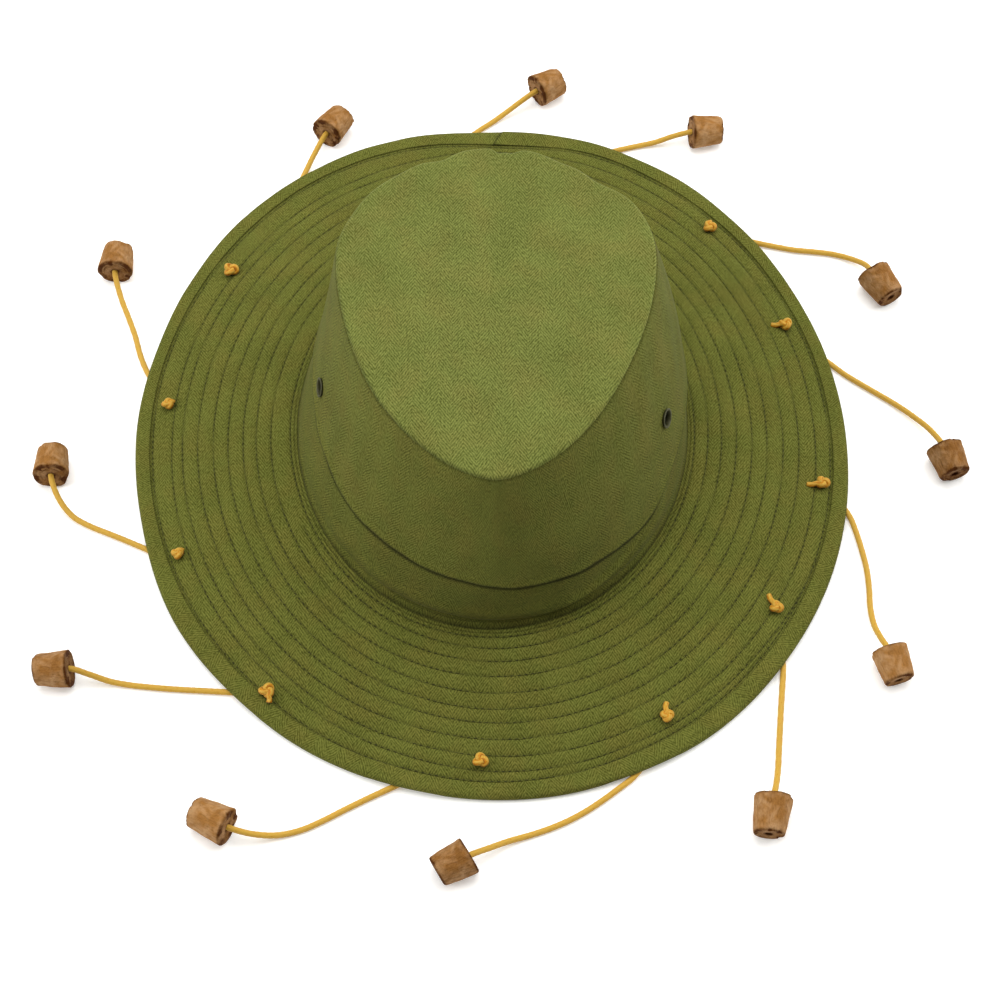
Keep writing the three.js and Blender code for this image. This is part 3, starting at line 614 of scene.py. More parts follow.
def herringbone_cotton(name, colour, sizes):
    """Cotton cloth woven in a herringbone twill, dyed olive: matt, with fine diagonal lines that
    turn and break at each column, slubs in the yarn, slightly uneven dye, and shade painted into
    its creases, grooves and seams. The lines and the slubs of real cloth are too fine to show
    here, so both are drawn coarser."""
    yarn_slack, slub, dye_patch, faded_patch = 3.85, 0.87, 22.2, 16.7
    line_slope, line_share, dye_share = 1.4, 0.13, 0.2
    dark_yarn, light_yarn = (0.42, 0.44, 0.3), (1.58, 1.56, 1.7)
    material, tree, shader = new_material(
        name, Roughness=0.95, IOR=1.5, Specular_IOR_Level=0.08, Sheen_Weight=0.02, Sheen_Roughness=0.5)
    cloth = add_node(tree, "ShaderNodeUVMap", uv_map="cloth")
    slack = add_node(tree, "ShaderNodeTexNoise", {
        "Vector": cloth.outputs["UV"], "Scale": per_metre(yarn_slack), "Detail": 2.0},
        noise_dimensions="2D")
    shift = add_node(tree, "ShaderNodeVectorMath", {
        0: slack.outputs["Color"], 1: (-0.5, -0.5, 0.0)}, operation="ADD")
    place = add_node(tree, "ShaderNodeVectorMath", {
        0: shift.outputs["Vector"], 1: (0.0009, 0.0009, 0.0), 2: cloth.outputs["UV"]},
        operation="MULTIPLY_ADD")
    axes = add_node(tree, "ShaderNodeSeparateXYZ", {"Vector": place.outputs["Vector"]})
    fold = add_node(tree, "ShaderNodeMath", {
        0: axes.outputs["X"], 1: sizes.weave_column}, operation="PINGPONG")
    column = add_node(tree, "ShaderNodeMath", {
        0: axes.outputs["X"], 1: sizes.weave_column}, operation="DIVIDE")
    number = add_node(tree, "ShaderNodeMath", {0: column.outputs[0]}, operation="FLOOR")
    jump = add_node(tree, "ShaderNodeTexWhiteNoise", {"W": number.outputs[0]}, noise_dimensions="1D")
    start = add_node(tree, "ShaderNodeMath", {
        0: jump.outputs["Value"], 1: sizes.weave_pitch, 2: axes.outputs["Y"]}, operation="MULTIPLY_ADD")
    rise = add_node(tree, "ShaderNodeMath", {
        0: fold.outputs[0], 1: line_slope, 2: start.outputs[0]}, operation="MULTIPLY_ADD")
    phase = add_node(tree, "ShaderNodeMath", {
        0: rise.outputs[0], 1: 2 * math.pi / sizes.weave_pitch}, operation="MULTIPLY")
    wave = add_node(tree, "ShaderNodeMath", {0: phase.outputs[0]}, operation="SINE")
    slubs = add_node(tree, "ShaderNodeVectorMath", {
        0: cloth.outputs["UV"], 1: (1.0, 0.6, 1.0)}, operation="MULTIPLY")
    threads = add_node(tree, "ShaderNodeTexNoise", {
        "Vector": slubs.outputs["Vector"], "Scale": per_metre(slub), "Detail": 3.0, "Roughness": 0.8},
        noise_dimensions="2D")
    relief = add_node(tree, "ShaderNodeMath", {
        0: wave.outputs[0], 1: line_share, 2: threads.outputs[0]}, operation="MULTIPLY_ADD")
    dye = add_node(tree, "ShaderNodeTexNoise", {
        "Vector": cloth.outputs["UV"], "Scale": per_metre(dye_patch), "Detail": 4.0, "Roughness": 0.6},
        noise_dimensions="2D")
    tone = add_node(tree, "ShaderNodeMath", {
        0: dye.outputs[0], 1: dye_share, 2: relief.outputs[0]}, operation="MULTIPLY_ADD")
    ramp = add_node(tree, "ShaderNodeMapRange", {
        "Value": tone.outputs[0], "From Min": 0.34, "From Max": 0.86})
    yarn = add_node(tree, "ShaderNodeMix", {
        "Factor": ramp.outputs[0], "A": rgba(colour, dark_yarn), "B": rgba(colour, light_yarn)},
        data_type="RGBA")
    wear = add_node(tree, "ShaderNodeTexNoise", {
        "Vector": cloth.outputs["UV"], "Scale": per_metre(faded_patch), "Detail": 3.0},
        noise_dimensions="2D")
    faded = add_node(tree, "ShaderNodeMapRange", {
        "Value": wear.outputs[0], "From Min": 0.4, "From Max": 0.7})
    tint = add_node(tree, "ShaderNodeMix", {
        "Factor": faded.outputs[0], "A": rgba((0.98, 1.005, 0.98)), "B": rgba((1.06, 0.985, 0.99))},
        data_type="RGBA")
    worn = add_node(tree, "ShaderNodeVectorMath", {
        0: yarn.outputs["Result"], 1: tint.outputs["Result"]}, operation="MULTIPLY")
    # Painted shade: the stored attribute darkens the colour where little light gets in
    painted_shade = add_node(tree, "ShaderNodeAttribute", attribute_name="painted_shade")
    dim = add_node(tree, "ShaderNodeMath", {
        0: painted_shade.outputs["Fac"], 1: -0.72, 2: 1.0}, operation="MULTIPLY_ADD")
    base = add_node(tree, "ShaderNodeVectorMath", {
        0: worn.outputs["Vector"], "Scale": dim.outputs[0]}, operation="SCALE")
    bump = add_node(tree, "ShaderNodeBump", {
        "Height": relief.outputs[0], "Strength": 0.5, "Distance": 0.00022})
    tree.links.new(base.outputs["Vector"], shader.inputs["Base Color"])
    tree.links.new(bump.outputs["Normal"], shader.inputs["Normal"])
    return material


def sewing_thread(name, colour):
    """Spun polyester thread: a little shinier than the cloth, uneven by its fibres, with shade painted
    where it goes down into a needle hole. The fibres are drawn coarser than real, so that they show."""
    fibre_spot = 1.11
    material, tree, shader = new_material(
        name, Roughness=0.75, IOR=1.54, Specular_IOR_Level=0.15)
    place = add_node(tree, "ShaderNodeTexCoord")
    fibres = add_node(tree, "ShaderNodeTexNoise", {
        "Vector": place.outputs["Object"], "Scale": per_metre(fibre_spot), "Detail": 2.0})
    ramp = add_node(tree, "ShaderNodeMapRange", {
        "Value": fibres.outputs[0], "From Min": 0.3, "From Max": 0.7, "To Min": 0.6, "To Max": 1.4})
    # Painted shade at the needle holes, read from the stored attribute
    painted_shade = add_node(tree, "ShaderNodeAttribute", attribute_name="painted_shade")
    dim = add_node(tree, "ShaderNodeMath", {
        0: painted_shade.outputs["Fac"], 1: -0.7, 2: 1.0}, operation="MULTIPLY_ADD")
    shade = add_node(tree, "ShaderNodeMath", {
        0: ramp.outputs[0], 1: dim.outputs[0]}, operation="MULTIPLY")
    base = add_node(tree, "ShaderNodeVectorMath", {
        0: list(colour), "Scale": shade.outputs[0]}, operation="SCALE")
    tree.links.new(base.outputs["Vector"], shader.inputs["Base Color"])
    return material


def braided_cord(name, colour):
    """Braided polyester cord: golden yellow, with a silky sheen; shade is painted, dark and brown, in
    the hollows between its strands, and a pale highlight on their tops. The fibres are drawn coarser
    than real, so that they show."""
    fibre_spot = 0.556
    # Shares of the colour: painted shade in the hollows, the strands' own colour, and a painted highlight
    # on their tops (crown)
    hollow_shade, strand, crown = (0.34, 0.14, 0.0), (1.12, 0.76, 0.1), (1.24, 1.24, 1.9)
    stops = ((0.2, hollow_shade), (0.75, strand), (0.926, crown))
    material, tree, shader = new_material(
        name, Roughness=0.6, IOR=1.54, Specular_IOR_Level=0.25, Sheen_Weight=0.1, Sheen_Roughness=0.4)
    place = add_node(tree, "ShaderNodeTexCoord")
    height = add_node(tree, "ShaderNodeAttribute", attribute_name="height")
    fibres = add_node(tree, "ShaderNodeTexNoise", {
        "Vector": place.outputs["Object"], "Scale": per_metre(fibre_spot), "Detail": 3.0,
        "Roughness": 0.7})
    # The plait's stored height, lowered in the knots, picks painted shade in the hollows and a painted
    # highlight on the tops
    tone = add_node(tree, "ShaderNodeMath", {
        0: fibres.outputs[0], 1: 0.7, 2: height.outputs["Fac"]}, operation="MULTIPLY_ADD")
    ramp = add_node(tree, "ShaderNodeValToRGB", {"Fac": tone.outputs[0]})
    ramp.color_ramp.elements.new(stops[1][0])
    for element, (position, shares) in zip(ramp.color_ramp.elements, stops):
        element.position = position
        element.color = rgba(colour, shares)
    bump = add_node(tree, "ShaderNodeBump", {
        "Height": fibres.outputs[0], "Strength": 0.35, "Distance": 0.00015})
    tree.links.new(ramp.outputs["Color"], shader.inputs["Base Color"])
    tree.links.new(bump.outputs["Normal"], shader.inputs["Normal"])
    return material


def natural_cork(name, colour, dark):
    """Natural cork, punched from bark and rubbed smooth: dry and matt, with rust-brown clouds, long
    streaks along the plug, dark pores, and darker cut faces and worn rims."""
    streak_spot, cloud_spot, grain_spot, pore_gap = 1.25, 6.67, 0.77, 1.79
    streak_stretch = 0.25
    rust_shares = (0.86, 0.68, 0.38)
    material, tree, shader = new_material(
        name, Roughness=0.9, IOR=1.45, Specular_IOR_Level=0.12)
    place = add_node(tree, "ShaderNodeTexCoord")
    stretch = add_node(tree, "ShaderNodeMapping", {
        "Vector": place.outputs["Object"], "Scale": (1.0, 1.0, streak_stretch)})
    streaks = add_node(tree, "ShaderNodeTexNoise", {
        "Vector": stretch.outputs["Vector"], "Scale": per_metre(streak_spot), "Detail": 5.0,
        "Roughness": 0.7, "Distortion": 0.8})
    streak = add_node(tree, "ShaderNodeMapRange", {
        "Value": streaks.outputs[0], "From Min": 0.4, "From Max": 0.74, "To Min": 0.0, "To Max": 0.45})
    clouds = add_node(tree, "ShaderNodeTexNoise", {
        "Vector": place.outputs["Object"], "Scale": per_metre(cloud_spot), "Detail": 3.0,
        "Distortion": 0.5})
    cloud = add_node(tree, "ShaderNodeMapRange", {
        "Value": clouds.outputs[0], "From Min": 0.36, "From Max": 0.64})
    grain = add_node(tree, "ShaderNodeTexNoise", {
        "Vector": place.outputs["Object"], "Scale": per_metre(grain_spot), "Detail": 2.0,
        "Roughness": 0.7})
    pores = add_node(tree, "ShaderNodeTexVoronoi", {
        "Vector": stretch.outputs["Vector"], "Scale": per_metre(pore_gap), "Randomness": 1.0},
        feature="F1")
    pore = add_node(tree, "ShaderNodeMapRange", {
        "Value": pores.outputs["Distance"], "From Min": 0.1, "From Max": 0.3, "To Min": 1.0,
        "To Max": 0.0})
    wear = add_node(tree, "ShaderNodeAttribute", attribute_name="wear")
    shade = add_node(tree, "ShaderNodeMath", {
        0: cloud.outputs[0], 1: 0.16, 2: streak.outputs[0]}, operation="MULTIPLY_ADD")
    dim = add_node(tree, "ShaderNodeMath", {
        0: grain.outputs[0], 1: 0.5, 2: -0.3}, operation="MULTIPLY_ADD")
    patch = add_node(tree, "ShaderNodeMath", {
        0: shade.outputs[0], 1: dim.outputs[0]}, operation="ADD")
    marks = add_node(tree, "ShaderNodeMath", {
        0: pore.outputs[0], 1: 0.18, 2: patch.outputs[0]}, operation="MULTIPLY_ADD")
    both = add_node(tree, "ShaderNodeMath", {
        0: marks.outputs[0], 1: wear.outputs["Fac"]}, operation="ADD", use_clamp=True)
    rust = add_node(tree, "ShaderNodeMix", {
        "Factor": cloud.outputs[0], "A": rgba(colour, 1.12), "B": rgba(colour, rust_shares)},
        data_type="RGBA")
    base = add_node(tree, "ShaderNodeMix", {
        "Factor": both.outputs[0], "A": rust.outputs["Result"], "B": rgba(dark)}, data_type="RGBA")
    depth = add_node(tree, "ShaderNodeMath", {
        0: marks.outputs[0], 1: -1.0}, operation="MULTIPLY")
    bump = add_node(tree, "ShaderNodeBump", {
        "Height": depth.outputs[0], "Strength": 0.7, "Distance": 0.0006})
    tree.links.new(base.outputs["Result"], shader.inputs["Base Color"])
    tree.links.new(bump.outputs["Normal"], shader.inputs["Normal"])
    return material


def eyelet_enamel(name, colour):
    """Stamped steel eyelet with a dull olive enamel: half gloss, with small rubbed patches, and shade
    painted inside its barrel."""
    rubbed_patch = 1.43
    material, tree, shader = new_material(
        name, IOR=1.5, Specular_IOR_Level=0.3)
    place = add_node(tree, "ShaderNodeTexCoord")
    rubs = add_node(tree, "ShaderNodeTexNoise", {
        "Vector": place.outputs["Object"], "Scale": per_metre(rubbed_patch), "Detail": 4.0})
    rough = add_node(tree, "ShaderNodeMapRange", {
        "Value": rubs.outputs[0], "From Min": 0.35, "From Max": 0.65, "To Min": 0.45, "To Max": 0.65})
    ramp = add_node(tree, "ShaderNodeMapRange", {
        "Value": rubs.outputs[0], "From Min": 0.35, "From Max": 0.7, "To Min": 0.8, "To Max": 1.2})
    # Painted shade inside the barrel, read from the stored attribute
    painted_shade = add_node(tree, "ShaderNodeAttribute", attribute_name="painted_shade")
    dim = add_node(tree, "ShaderNodeMath", {
        0: painted_shade.outputs["Fac"], 1: -0.85, 2: 1.0}, operation="MULTIPLY_ADD")
    shade = add_node(tree, "ShaderNodeMath", {
        0: ramp.outputs[0], 1: dim.outputs[0]}, operation="MULTIPLY")
    base = add_node(tree, "ShaderNodeVectorMath", {
        0: list(colour), "Scale": shade.outputs[0]}, operation="SCALE")
    tree.links.new(base.outputs["Vector"], shader.inputs["Base Color"])
    tree.links.new(rough.outputs[0], shader.inputs["Roughness"])
    return material


def opal_acrylic(name, colour):
    """Opal acrylic sheet, sanded matt and lit from below, as in a photo studio: the shadows on it
    nearly vanish. The sanding marks are drawn coarser than real."""
    sanding_spot = 2.5
    material, tree, shader = new_material(
        name, Roughness=0.9, Specular_IOR_Level=0.1, Emission_Color=(1.0, 1.0, 1.0, 1.0),
        Emission_Strength=0.26)
    place = add_node(tree, "ShaderNodeTexCoord")
    grain = add_node(tree, "ShaderNodeTexNoise", {
        "Vector": place.outputs["Object"], "Scale": per_metre(sanding_spot), "Detail": 2.0})
    ramp = add_node(tree, "ShaderNodeMapRange", {
        "Value": grain.outputs[0], "To Min": 0.985, "To Max": 1.0})
    base = add_node(tree, "ShaderNodeVectorMath", {
        0: list(colour), "Scale": ramp.outputs[0]}, operation="SCALE")
    tree.links.new(base.outputs["Vector"], shader.inputs["Base Color"])
    return material


def materials():
    """All the hat's materials by name, made once."""
    colours, sizes = bpy.context.scene.cork_hat_colours, bpy.context.scene.cork_hat_sizes
    makers = {
        "olive_herringbone_cotton": lambda name: herringbone_cotton(name, colours.cloth, sizes),
        "pale_herringbone_cotton": lambda name: herringbone_cotton(name, colours.pale_cloth, sizes),
        "olive_sewing_thread": lambda name: sewing_thread(name, colours.thread),
        "golden_braided_cord": lambda name: braided_cord(name, colours.cord),
        "natural_cork": lambda name: natural_cork(name, colours.cork, colours.cork_dark),
        "olive_eyelet_enamel": lambda name: eyelet_enamel(name, colours.eyelet),
        "opal_acrylic_table": lambda name: opal_acrylic(name, colours.floor),
    }
    for name, make in makers.items():
        if name not in bpy.data.materials:
            make(name)
    return bpy.data.materials


# Pieces of the hat
def ripple(points, seed, wavelengths, size):
    """Soft unevenness of cloth: seeded waves in a few directions for each wavelength."""
    rng = np.random.default_rng(seed)
    total = 0
    for wavelength in wavelengths:
        for turn in rng.uniform(0, 2 * np.pi, 3):
            along = points[..., 0] * np.cos(turn) + points[..., 1] * np.sin(turn)
            total = total + np.sin(along * 2 * np.pi / wavelength + rng.uniform(0, 2 * np.pi))
    return size * total / (3 * len(wavelengths))


def store(mesh, name, values):
    """Stores a value for each vertex, for a material to read: painted shade on cloth, thread or metal
    where little light gets in (a painted highlight below zero), the height of a plait's relief, which
    the cord's material paints as shade in its hollows, or how dark cork is."""
    layer = mesh.attributes.new(name, "FLOAT", "POINT")
    layer.data.foreach_set("value", np.asarray(values, np.float32).ravel())


def row_distance(angle, reach):
    """Distance to the nearest row of stitches on the brim."""
    width = brim_width(angle)
    part = ((SPIRAL_START - angle) % 360) / 360
    rows = [spiral_reach(part + turn) for turn in range(math.ceil(SPIRAL_ROWS[-1][0]) + 1)]
    rows += [np.full_like(part, SEAM_STITCH_REACH), edge_reach(angle, hem_stitch(angle))]
    return np.min([np.abs(reach - row) * width for row in rows], axis=0)


def closed_flat(rows, columns):
    """Cloth coordinates for a closed grid from a row value and a column value."""
    return np.stack(np.broadcast_arrays(columns[None, :], rows[:, None]), -1)


def with_seam(flat):
    """Values of a grid with the first row and column repeated at the end."""
    flat = np.concatenate([flat, flat[:1]], 0)
    return np.concatenate([flat, flat[:, :1]], 1)


def turn_angles(columns):
    """Even angles once round the hat."""
    return np.arange(columns) * 360 / columns


def build_brim(sizes):
    """Two plies of cloth that puff up between the spiral rows of stitches."""
    depth = sizes.quilt_depth / MM
    angles = turn_angles(BRIM_COLUMNS)
    width = brim_width(angles)
    inner, outer = -WALL_THICK / width, edge_reach(angles, PLY_INSET)
    seam_zone, seam_rows, back_rows, back_height = 0.1, 0.19, 8, 0.02
    stuff = materials()
    for name, side, rows in (("brim_upper_cloth", 1, 127), ("brim_under_cloth", -1, 70)):
        fine = np.linspace(0, seam_zone, round(rows * seam_rows))[:-1]
        coarse = np.linspace(seam_zone, 1, rows - len(fine))
        shares = np.r_[fine, coarse, np.linspace(1, 0, back_rows)][:, None]
        reach = inner + (outer - inner) * shares
        angle = np.broadcast_to(angles, reach.shape)
        plan = brim_point(angle, reach)[..., :2]
        near = row_distance(angle, reach)
        from_seam = reach * width
        groove = 0.55 * falloff(near, 0.6) + 0.45 * falloff(near, 2.4)
        rib = falloff(from_seam - 1.5, 0.4)
        face = BRIM_THICK / 2 - depth * (groove + 0.5 * rib)
        face = face + ripple(plan, 11, (34, 19), 0.25) * side
        from_fold = (edge_reach(angle, hem_width(angle)) - reach) * width
        # Painted shade in the stitched grooves, on the rib and in the seam by the crown, and by the
        # binding's fold, fainter in front
        painted_shade = 0.34 * falloff(near, 0.6) + 0.6 * rib + 0.8 * falloff(from_seam, 0.5)
        front = bump_at(angle, FRONT_ANGLE, 40)
        painted_shade = painted_shade + (0.45 - 0.25 * front) * falloff(from_fold, 0.5)
        height = face * side
        height[rows:] = back_height * side
        points = brim_point(angle, reach, height)
        mesh = grid_mesh(name, points, with_seam(plan))
        store(mesh, "painted_shade", np.minimum(painted_shade, 1))
        finish_mesh(name, mesh, stuff["olive_herringbone_cotton"], "brim")


def stitch_mesh(name, centres, ups, length, width, sides, steps):
    """Short rounded stitches that follow a line of centres, with a needle hole at both ends, where
    shade is painted on the thread.
    """
    along = np.gradient(centres, axis=0)
    along /= np.linalg.norm(along, axis=1, keepdims=True)
    across = np.cross(ups, along)
    across /= np.linalg.norm(across, axis=1, keepdims=True)
    steps = np.array(steps)
    rings = len(steps)
    hole = np.interp(np.abs(steps), STITCH_STEPS, STITCH_HOLE_AND_SHADE)
    radius = width / 2 * (1 + 0.9 * hole - 0.9 * (np.abs(steps) == 1))
    rise = width / 2 * (1 - 0.4 * hole)
    dip = -width * 0.15 * hole
    turns = np.linspace(0, 2 * np.pi, sides, endpoint=False)
    points = (centres[:, None, None]
              + along[:, None, None] * (steps * length / 2)[:, None, None]
              + across[:, None, None] * (radius[:, None] * np.cos(turns))[..., None]
              + ups[:, None, None] * (dip[:, None] + rise[:, None] * np.sin(turns))[..., None])
    one = np.array([[(r * sides + s), (r * sides + (s + 1) % sides),
                     ((r + 1) * sides + (s + 1) % sides), ((r + 1) * sides + s)]
                    for r in range(rings - 1) for s in range(sides)])
    index = (np.arange(len(centres))[:, None, None] * rings * sides + one).reshape(-1)
    mesh = quad_mesh(name, points, index)
    # Painted shade on the thread, growing towards each needle hole
    store(mesh, "painted_shade", np.broadcast_to(hole[:, None], points.shape[:3]))
    return mesh


def even_line(points, step):
    """Places at an even step along a line of points."""
    length = np.r_[0, np.cumsum(np.linalg.norm(np.diff(points, axis=0), axis=1))]
    places = np.linspace(0, length[-1], max(2, round(length[-1] / step)))
    return np.stack([np.interp(places, length, points[:, axis]) for axis in range(3)], -1)


def stitch_rows():
    """Lines on the brim, as pairs of angle and reach: the spiral, the hem and the crown's seam."""
    turns = np.linspace(0, SPIRAL_ROWS[-1][0], 6000)
    whole = np.linspace(0, 360, 1400)
    return [
        (SPIRAL_START - 360 * turns, spiral_reach(turns)),
        (whole, edge_reach(whole, hem_stitch(whole))),
        (whole, np.full_like(whole, SEAM_STITCH_REACH)),
    ]


def build_stitches(sizes):
    """The thread of the quilting, on both sides of the brim."""
    depth = sizes.quilt_depth / MM
    length, width = sizes.stitch_length / MM, sizes.stitch_width / MM
    fill, sink, hem_height = 0.98, 0.3, 1.3
    stuff = materials()
    for name, side, sides, steps in (
            ("brim_stitches_top", 1, 5, (-1, -0.8, -0.45, 0, 0.45, 0.8, 1)),
            ("brim_stitches_under", -1, 4, (-1, -0.4, 0.4, 1))):
        lines, ups = [], []
        for angle, reach in stitch_rows():
            floor = BRIM_THICK / 2 - depth + width * sink
            on_hem = reach > edge_reach(angle, hem_width(angle) + 0.1)
            height = np.where(on_hem, hem_height, floor)
            line = even_line(brim_point(angle, reach, height * side), length)
            lines.append(line)
            along = np.gradient(line, axis=0)
            slope = brim_slope(line)
            up = np.cross(along, np.cross(slope, along)) * side
            ups.append(up / np.linalg.norm(up, axis=1, keepdims=True))
        mesh = stitch_mesh(
            name, np.vstack(lines), np.vstack(ups), length * fill, width, sides, steps)
        finish_mesh(name, mesh, stuff["olive_sewing_thread"], "brim")


def brim_slope(points):
    """Direction straight out of the brim's top at points on it."""
    out = points[:, :2] / np.linalg.norm(points[:, :2], axis=1, keepdims=True)
    lean = BRIM_RISE / (BRIM_WIDTH / 2 - SEAM_WIDTH / 2)
    normal = np.concatenate([out * lean, np.ones((len(points), 1))], 1)
    return normal / np.linalg.norm(normal, axis=1, keepdims=True)


def build_binding():
    """A strip of cloth folded round the edge, thin where it is sewn down, with its slanting join at
    the back, where one end is folded over the other."""
    join_angles, join_columns = (86.5, 91.5), 34
    join_fold, join_slant, join_step = 5.8, 4.5, 0.55
    angles = np.unique(np.r_[turn_angles(BRIM_COLUMNS), np.linspace(*join_angles, join_columns)])
    profile = np.array(BINDING_TOP + BINDING_UNDER + BINDING_INSIDE)
    share, rise = profile[:, :1], profile[:, 1:]
    reach = edge_reach(angles, share * hem_width(angles))
    angle = np.broadcast_to(angles, reach.shape)
    plan = brim_point(angle, reach)[..., :2]
    wobble = ripple(plan, 23, (26, 12), 0.12)
    past = plan[..., 0] - (join_fold - join_slant * share)
    behind = plan[..., 1] > 0
    over = 0.5 + 0.5 * np.tanh(past / 0.24)
    step_up = join_step * behind * over * np.exp(-np.maximum(past, 0) / 7)
    height = rise + np.where(rise > 0.62, wobble + step_up, 0)
    # Painted shade along the binding's fold, fainter in front, and beside the step of its join at the back
    fold = (0.65 - 0.3 * bump_at(angle, FRONT_ANGLE, 40)) * falloff(1 - share, 0.03)
    painted_shade = fold + 1.3 * behind * falloff(past + 0.3, 0.45)
    points = brim_point(angle, reach, height)
    points[..., 2] = np.maximum(points[..., 2], cord_clearance(angle))
    across = np.r_[0, np.cumsum(np.linalg.norm(np.diff(profile * (8, 1), axis=0), axis=1))]
    step = np.linalg.norm(np.diff(edge_plan(angles), axis=0, append=edge_plan(angles)[:1]), axis=1)
    along = np.r_[0, np.cumsum(step)]
    flat = closed_flat(np.r_[across, across[-1] + 1.4], along)
    mesh = grid_mesh("brim_binding_cloth", points, flat)
    store(mesh, "painted_shade", np.clip(painted_shade, 0, 1))
    finish_mesh("brim_binding_cloth", mesh, materials()["olive_herringbone_cotton"], "brim_binding")


def wall_mesh(name, low, high, rows, out, painted_shade, inner_rows, holes=()):
    """A closed ring of wall between two shares. out gives how far the cloth stands out."""
    angles = turn_angles(CROWN_COLUMNS)
    outer = np.linspace(0, 1, rows)
    inner = np.linspace(1, 0, inner_rows)
    level = np.r_[outer, inner][:, None]
    share = low(angles) + (high(angles) - low(angles)) * level
    angle = np.broadcast_to(angles, share.shape)
    depth = np.where(np.arange(len(level))[:, None] < rows, out(angle, share), -WALL_THICK)
    points = wall_point(angle, share, depth)
    step = np.linalg.norm(np.diff(seam_plan(angles), axis=0, append=seam_plan(angles)[:1]), axis=1)
    rise = with_seam(share * CROWN_RISE)
    flat = np.stack([np.broadcast_to(np.r_[0, np.cumsum(step)], rise.shape), rise], -1)
    cuts = []
    for centre, axis in holes:
        gap = points - centre
        off = gap - (gap @ axis)[..., None] * axis
        radius = np.linalg.norm(off, axis=-1)
        near = np.linalg.norm(gap, axis=-1) < VENT_NEAR
        pulled = near & (radius < VENT_PULL)
        push = (VENT_BARREL - radius) / np.maximum(radius, 1e-6)
        points = np.where(pulled[..., None], points + off * push[..., None], points)
        cuts.append(near & (radius < VENT_CUT))
    mesh = grid_mesh(name, points, flat)
    store(mesh, "painted_shade", np.clip(painted_shade(angle, share), 0, 1))
    if cuts:
        remove_vertices(mesh, np.any(cuts, axis=0).reshape(-1))
    return mesh


def remove_vertices(mesh, drop):
    """Takes marked vertices and their faces out of a mesh."""
    work = bmesh.new()
    work.from_mesh(mesh)
    work.verts.ensure_lookup_table()
    bmesh.ops.delete(work, geom=[work.verts[i] for i in np.flatnonzero(drop)], context="VERTS")
    work.to_mesh(mesh)
    work.free()


def vent_place(angle, share):
    """Centre of a vent in the middle of the wall, and the way out of it."""
    centre = wall_point(angle, share, -WALL_THICK / 2)
    along = wall_point(angle + 1, share) - wall_point(angle - 1, share)
    up = wall_point(angle, share + 0.02) - wall_point(angle, share - 0.02)
    out = np.cross(along, up)
    return centre, out / np.linalg.norm(out)


def build_crown_side():
    """The wall of the crown. Its foot hangs a little over the band, as a pressed fold."""
    def out(angle, share):
        """How far the cloth stands out."""
        above = (share - fold_share(angle)) * CROWN_RISE
        below_tip = (1 - share) * CROWN_RISE
        plan = np.stack([angle * WALL_ARC, share * CROWN_RISE], -1)
        foot = 0.75 * falloff(above, 3.2) - 0.9 * falloff(above, 0.45)
        head = -1.1 * falloff(below_tip, 0.8)
        return foot + head + ripple(plan, 5, (60, 31, 17), 0.45) * np.minimum(1, below_tip / 8)

    def painted_shade(angle, share):
        """How much shade is painted on the cloth: by the fold, by the tip's seam, and a little in front,
        where the wall faces away from the lamps.
        """
        above = (share - fold_share(angle)) * CROWN_RISE
        below_tip = (1 - share) * CROWN_RISE
        return falloff(above, 1.0) + falloff(below_tip, 1.4) + 0.09 * bump_at(angle, 285, 45)

    rows, inner_rows, top_share = 74, 16, 0.995
    holes = [vent_place(angle, share) for _, angle, share in VENTS]
    mesh = wall_mesh("crown_side_cloth", fold_share, lambda angle: np.full_like(angle, top_share), rows,
                     out, painted_shade, inner_rows, holes)
    finish_mesh("crown_side_cloth", mesh, materials()["olive_herringbone_cotton"], "crown_side")


def build_crown_band():
    """The wall below the fold, set slightly back from it, with a tuck in front and two soft folds
    that climb to the right."""
    def out(angle, share):
        """How far the cloth stands out."""
        height = share * CROWN_RISE
        plan = np.stack([angle * WALL_ARC, height], -1)
        front = bump_at(angle, FRONT_ANGLE, 50)
        tuck = -1.7 * front * falloff(height - 3.4, 2.2)
        roll = 0.9 * front * falloff(height - 10, 3.2)
        off = angle - 306
        climb = height - 0.3 * off
        folds = falloff(off, 20) * (1.6 * falloff(climb - 12, 1.8) - 1.3 * falloff(climb - 8, 1.8))
        foot = 0.5 * falloff(height, 1.4)
        return -0.45 + tuck + roll + folds + foot + ripple(plan, 8, (48, 21), 0.3)

    def painted_shade(angle, share):
        """How much shade is painted on the cloth: under the fold, in the seam, and a little in front,
        where the band faces away from the lamps.
        """
        height = share * CROWN_RISE
        below_fold = (fold_share(angle) - share) * CROWN_RISE
        painted_fold_shadow = 1.3 * np.exp(-(below_fold / 2.2) ** 4)
        return painted_fold_shadow + 0.2 * bump_at(angle, 275, 60) + 0.7 * falloff(height, 1.4)

    rows, inner_rows, below_seam, above_fold = 40, 6, -0.004, 0.012
    mesh = wall_mesh("crown_band_cloth", lambda angle: np.full_like(angle, below_seam),
                     lambda angle: fold_share(angle) + above_fold, rows, out, painted_shade, inner_rows)
    finish_mesh("crown_band_cloth", mesh, materials()["olive_herringbone_cotton"], "crown_band")


